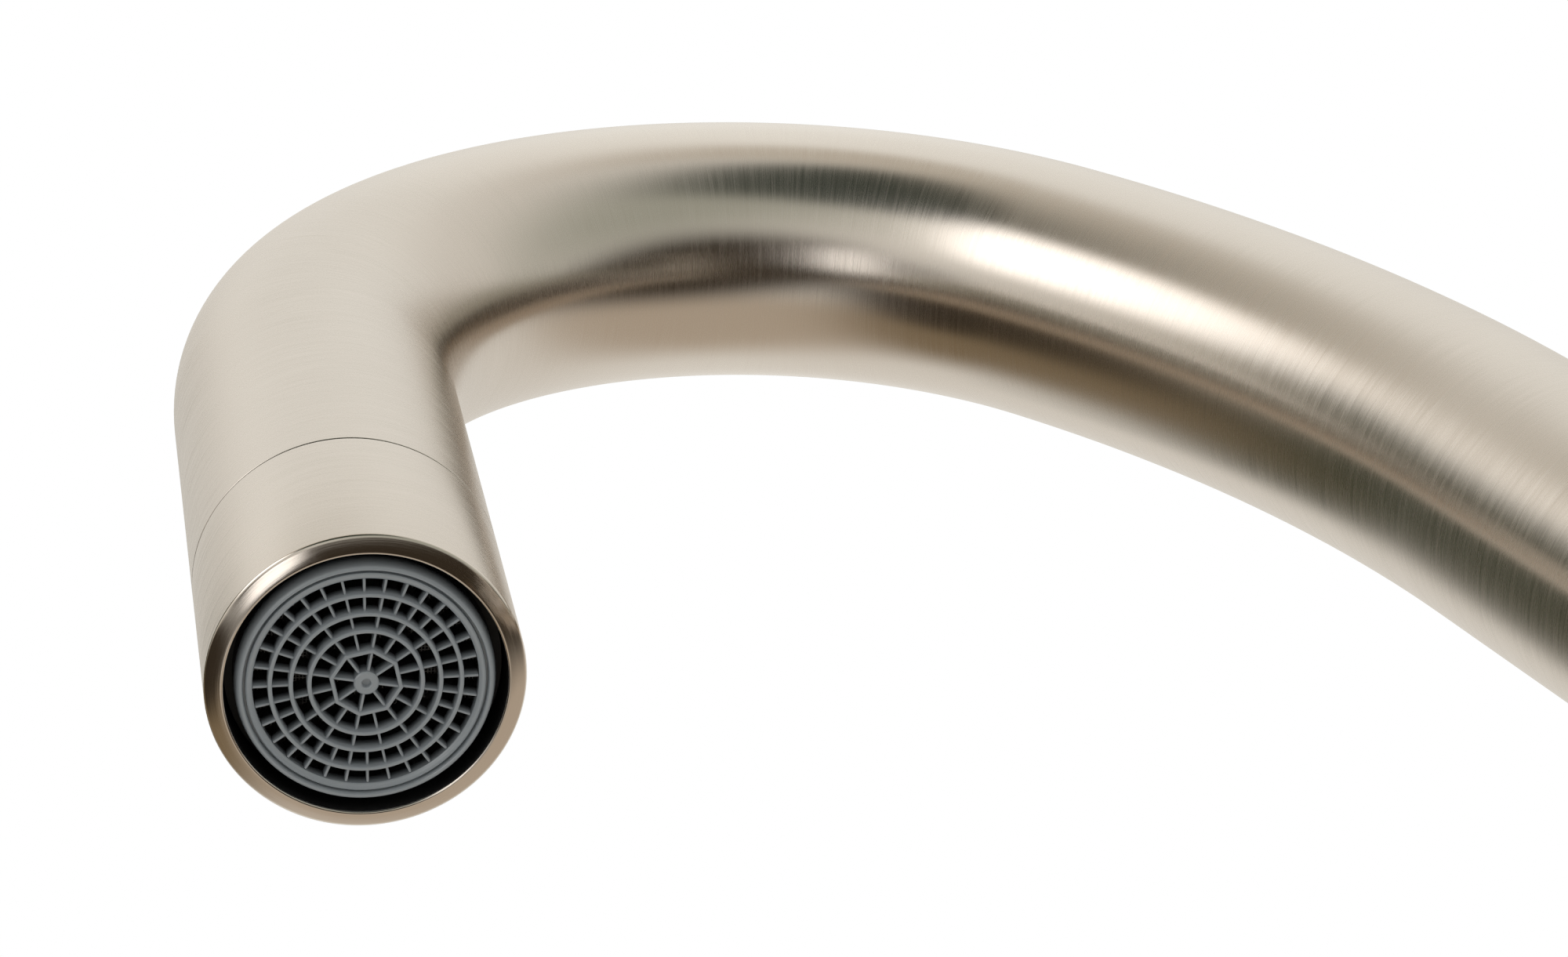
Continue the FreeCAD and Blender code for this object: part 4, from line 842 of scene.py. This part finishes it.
# camera
camera = {"lens": 100.0, "sensor": 36.0, "fromOutlet": (163.96, -125.05, -316.68),
          "forward": (-0.3876, 0.4247, 0.8181), "up": (0.9203, 0.1280, 0.3696)}
view = bpy.data.cameras.new("view")
view.lens, view.sensor_width = camera["lens"], camera["sensor"]
view.clip_start, view.clip_end = 0.01, 20
viewer = bpy.data.objects.new("view", view)
bpy.context.collection.objects.link(viewer)
backward = -Vector(camera["forward"]).normalized()
rightward = Vector(camera["up"]).cross(backward).normalized()
viewer.matrix_world = Matrix((rightward, backward.cross(rightward), backward)).transposed().to_4x4()
viewer.location = outletCentre + Vector(camera["fromOutlet"]) * mm
bpy.context.scene.camera = viewer


# pale floor, seen from every side but never in the metal, whose surroundings are the studio's own
ground = {"radius": 12, "sides": 128, "drop": 0.0005}
bm = bmesh.new()
bmesh.ops.create_circle(bm, cap_ends=True, radius=ground["radius"], segments=ground["sides"])
floor = makeObject("floor", bm, Matrix.Translation((0, 0, cadBox[0].z - ground["drop"])))
floor.data.materials.append(finish("paleFloor", (0.86, 0.86, 0.86), (0.88, 0.88, 0.88), 0.6, 0.05, grain=3,
                                   fine=200, bump=0.0001))
floor.visible_glossy = False


# studio: a white tent hung with cards, black flags and two soft boxes. Each is an oval: bearing, height,
# half width, half height and tilt in degrees, how soft its edge is, and its colour
studio = {
    "tent": (0.88, 0.86, 0.81),
    "topBox": (15, 58, 45, 28, 0, 0.5, (1.03, 1.03, 0.99)),
    "scrim": (-30, 33, 55, 18, 0, 0.3, (0.62, 0.57, 0.49)),
    "lowCard": (170, -40, 70, 35, 0, 0.5, (0.55, 0.47, 0.38)),
    "greyCard": (20, -30, 55, 30, 0, 0.8, (0.44, 0.45, 0.39)),
    "floorFlag": (10, -85, 75, 28, 0, 0.4, (0.04, 0.03, 0.02)),
    "warmFlag": (-122, 0, 35, 40, 0, 0.4, (0.24, 0.18, 0.11)),
    "lowFlag": (-108, -12, 19, 34, 0, 0.3, (0.04, 0.03, 0.02)),
    "backFlag": (-110, 47, 42, 15, 0, 0.3, (0.02, 0.03, 0.01)),
    "frontFlag": (-10, 0, 32, 22, -30, 0.3, (0.04, 0.05, 0.04)),
    "rimBox": (-72, -46, 13, 8, 0, 0.4, (2.00, 1.95, 1.90)),
    "keyBox": (-52, 12, 16, 19, -15, 0.4, (2.50, 2.45, 2.40)),
}
world = bpy.data.worlds.new("studio")
bpy.context.scene.world = world
world.use_nodes = True
tree = world.node_tree


def hang(colour, bearing, height, halfWidth, halfHeight, tilt, soft, light):
    # mixes one soft-edged oval of light or shade into the tent
    place = (Matrix.Rotation(math.radians(bearing), 3, "Z") @ Matrix.Rotation(-math.radians(height), 3, "Y")
             @ Matrix.Rotation(math.radians(tilt), 3, "X"))
    toward, side, up = place.col[0], place.col[1], place.col[2]
    facing = compute(tree, "MAXIMUM", dotWith(tree, looking, toward), 0.001)
    shifts = []
    for way, half in ((side, halfWidth), (up, halfHeight)):
        turn = compute(tree, "ARCTANGENT", compute(tree, "DIVIDE", dotWith(tree, looking, way), facing))
        shifts.append(compute(tree, "POWER", compute(tree, "DIVIDE", turn, math.radians(half)), 2.0))
    distance = compute(tree, "SQRT", compute(tree, "ADD", *shifts))
    amount = addNode(tree, "ShaderNodeMapRange", {"interpolation_type": "SMOOTHSTEP"}, Value=distance,
                     i1=1 - soft, i2=1 + soft, i3=1.0, i4=0.0)
    return mixColours(tree, amount, colour, light)


looking = tree.nodes.new("ShaderNodeTexCoord").outputs["Generated"]
colour = studio["tent"]
for name, flag in studio.items():
    if name != "tent":
        colour = hang(colour, *flag)
background = tree.nodes["Background"]
tree.links.new(colour, background.inputs["Color"])
plain = tree.nodes.new("ShaderNodeBackground")
plain.inputs["Color"].default_value = (1, 1, 1, 1)
chosen = tree.nodes.new("ShaderNodeMixShader")
tree.links.new(tree.nodes.new("ShaderNodeLightPath").outputs["Is Camera Ray"], chosen.inputs[0])
tree.links.new(background.outputs[0], chosen.inputs[1])
tree.links.new(plain.outputs[0], chosen.inputs[2])
tree.links.new(chosen.outputs[0], tree.nodes["World Output"].inputs["Surface"])
bpy.context.scene.view_settings.view_transform = "Standard"
print("studio lit")
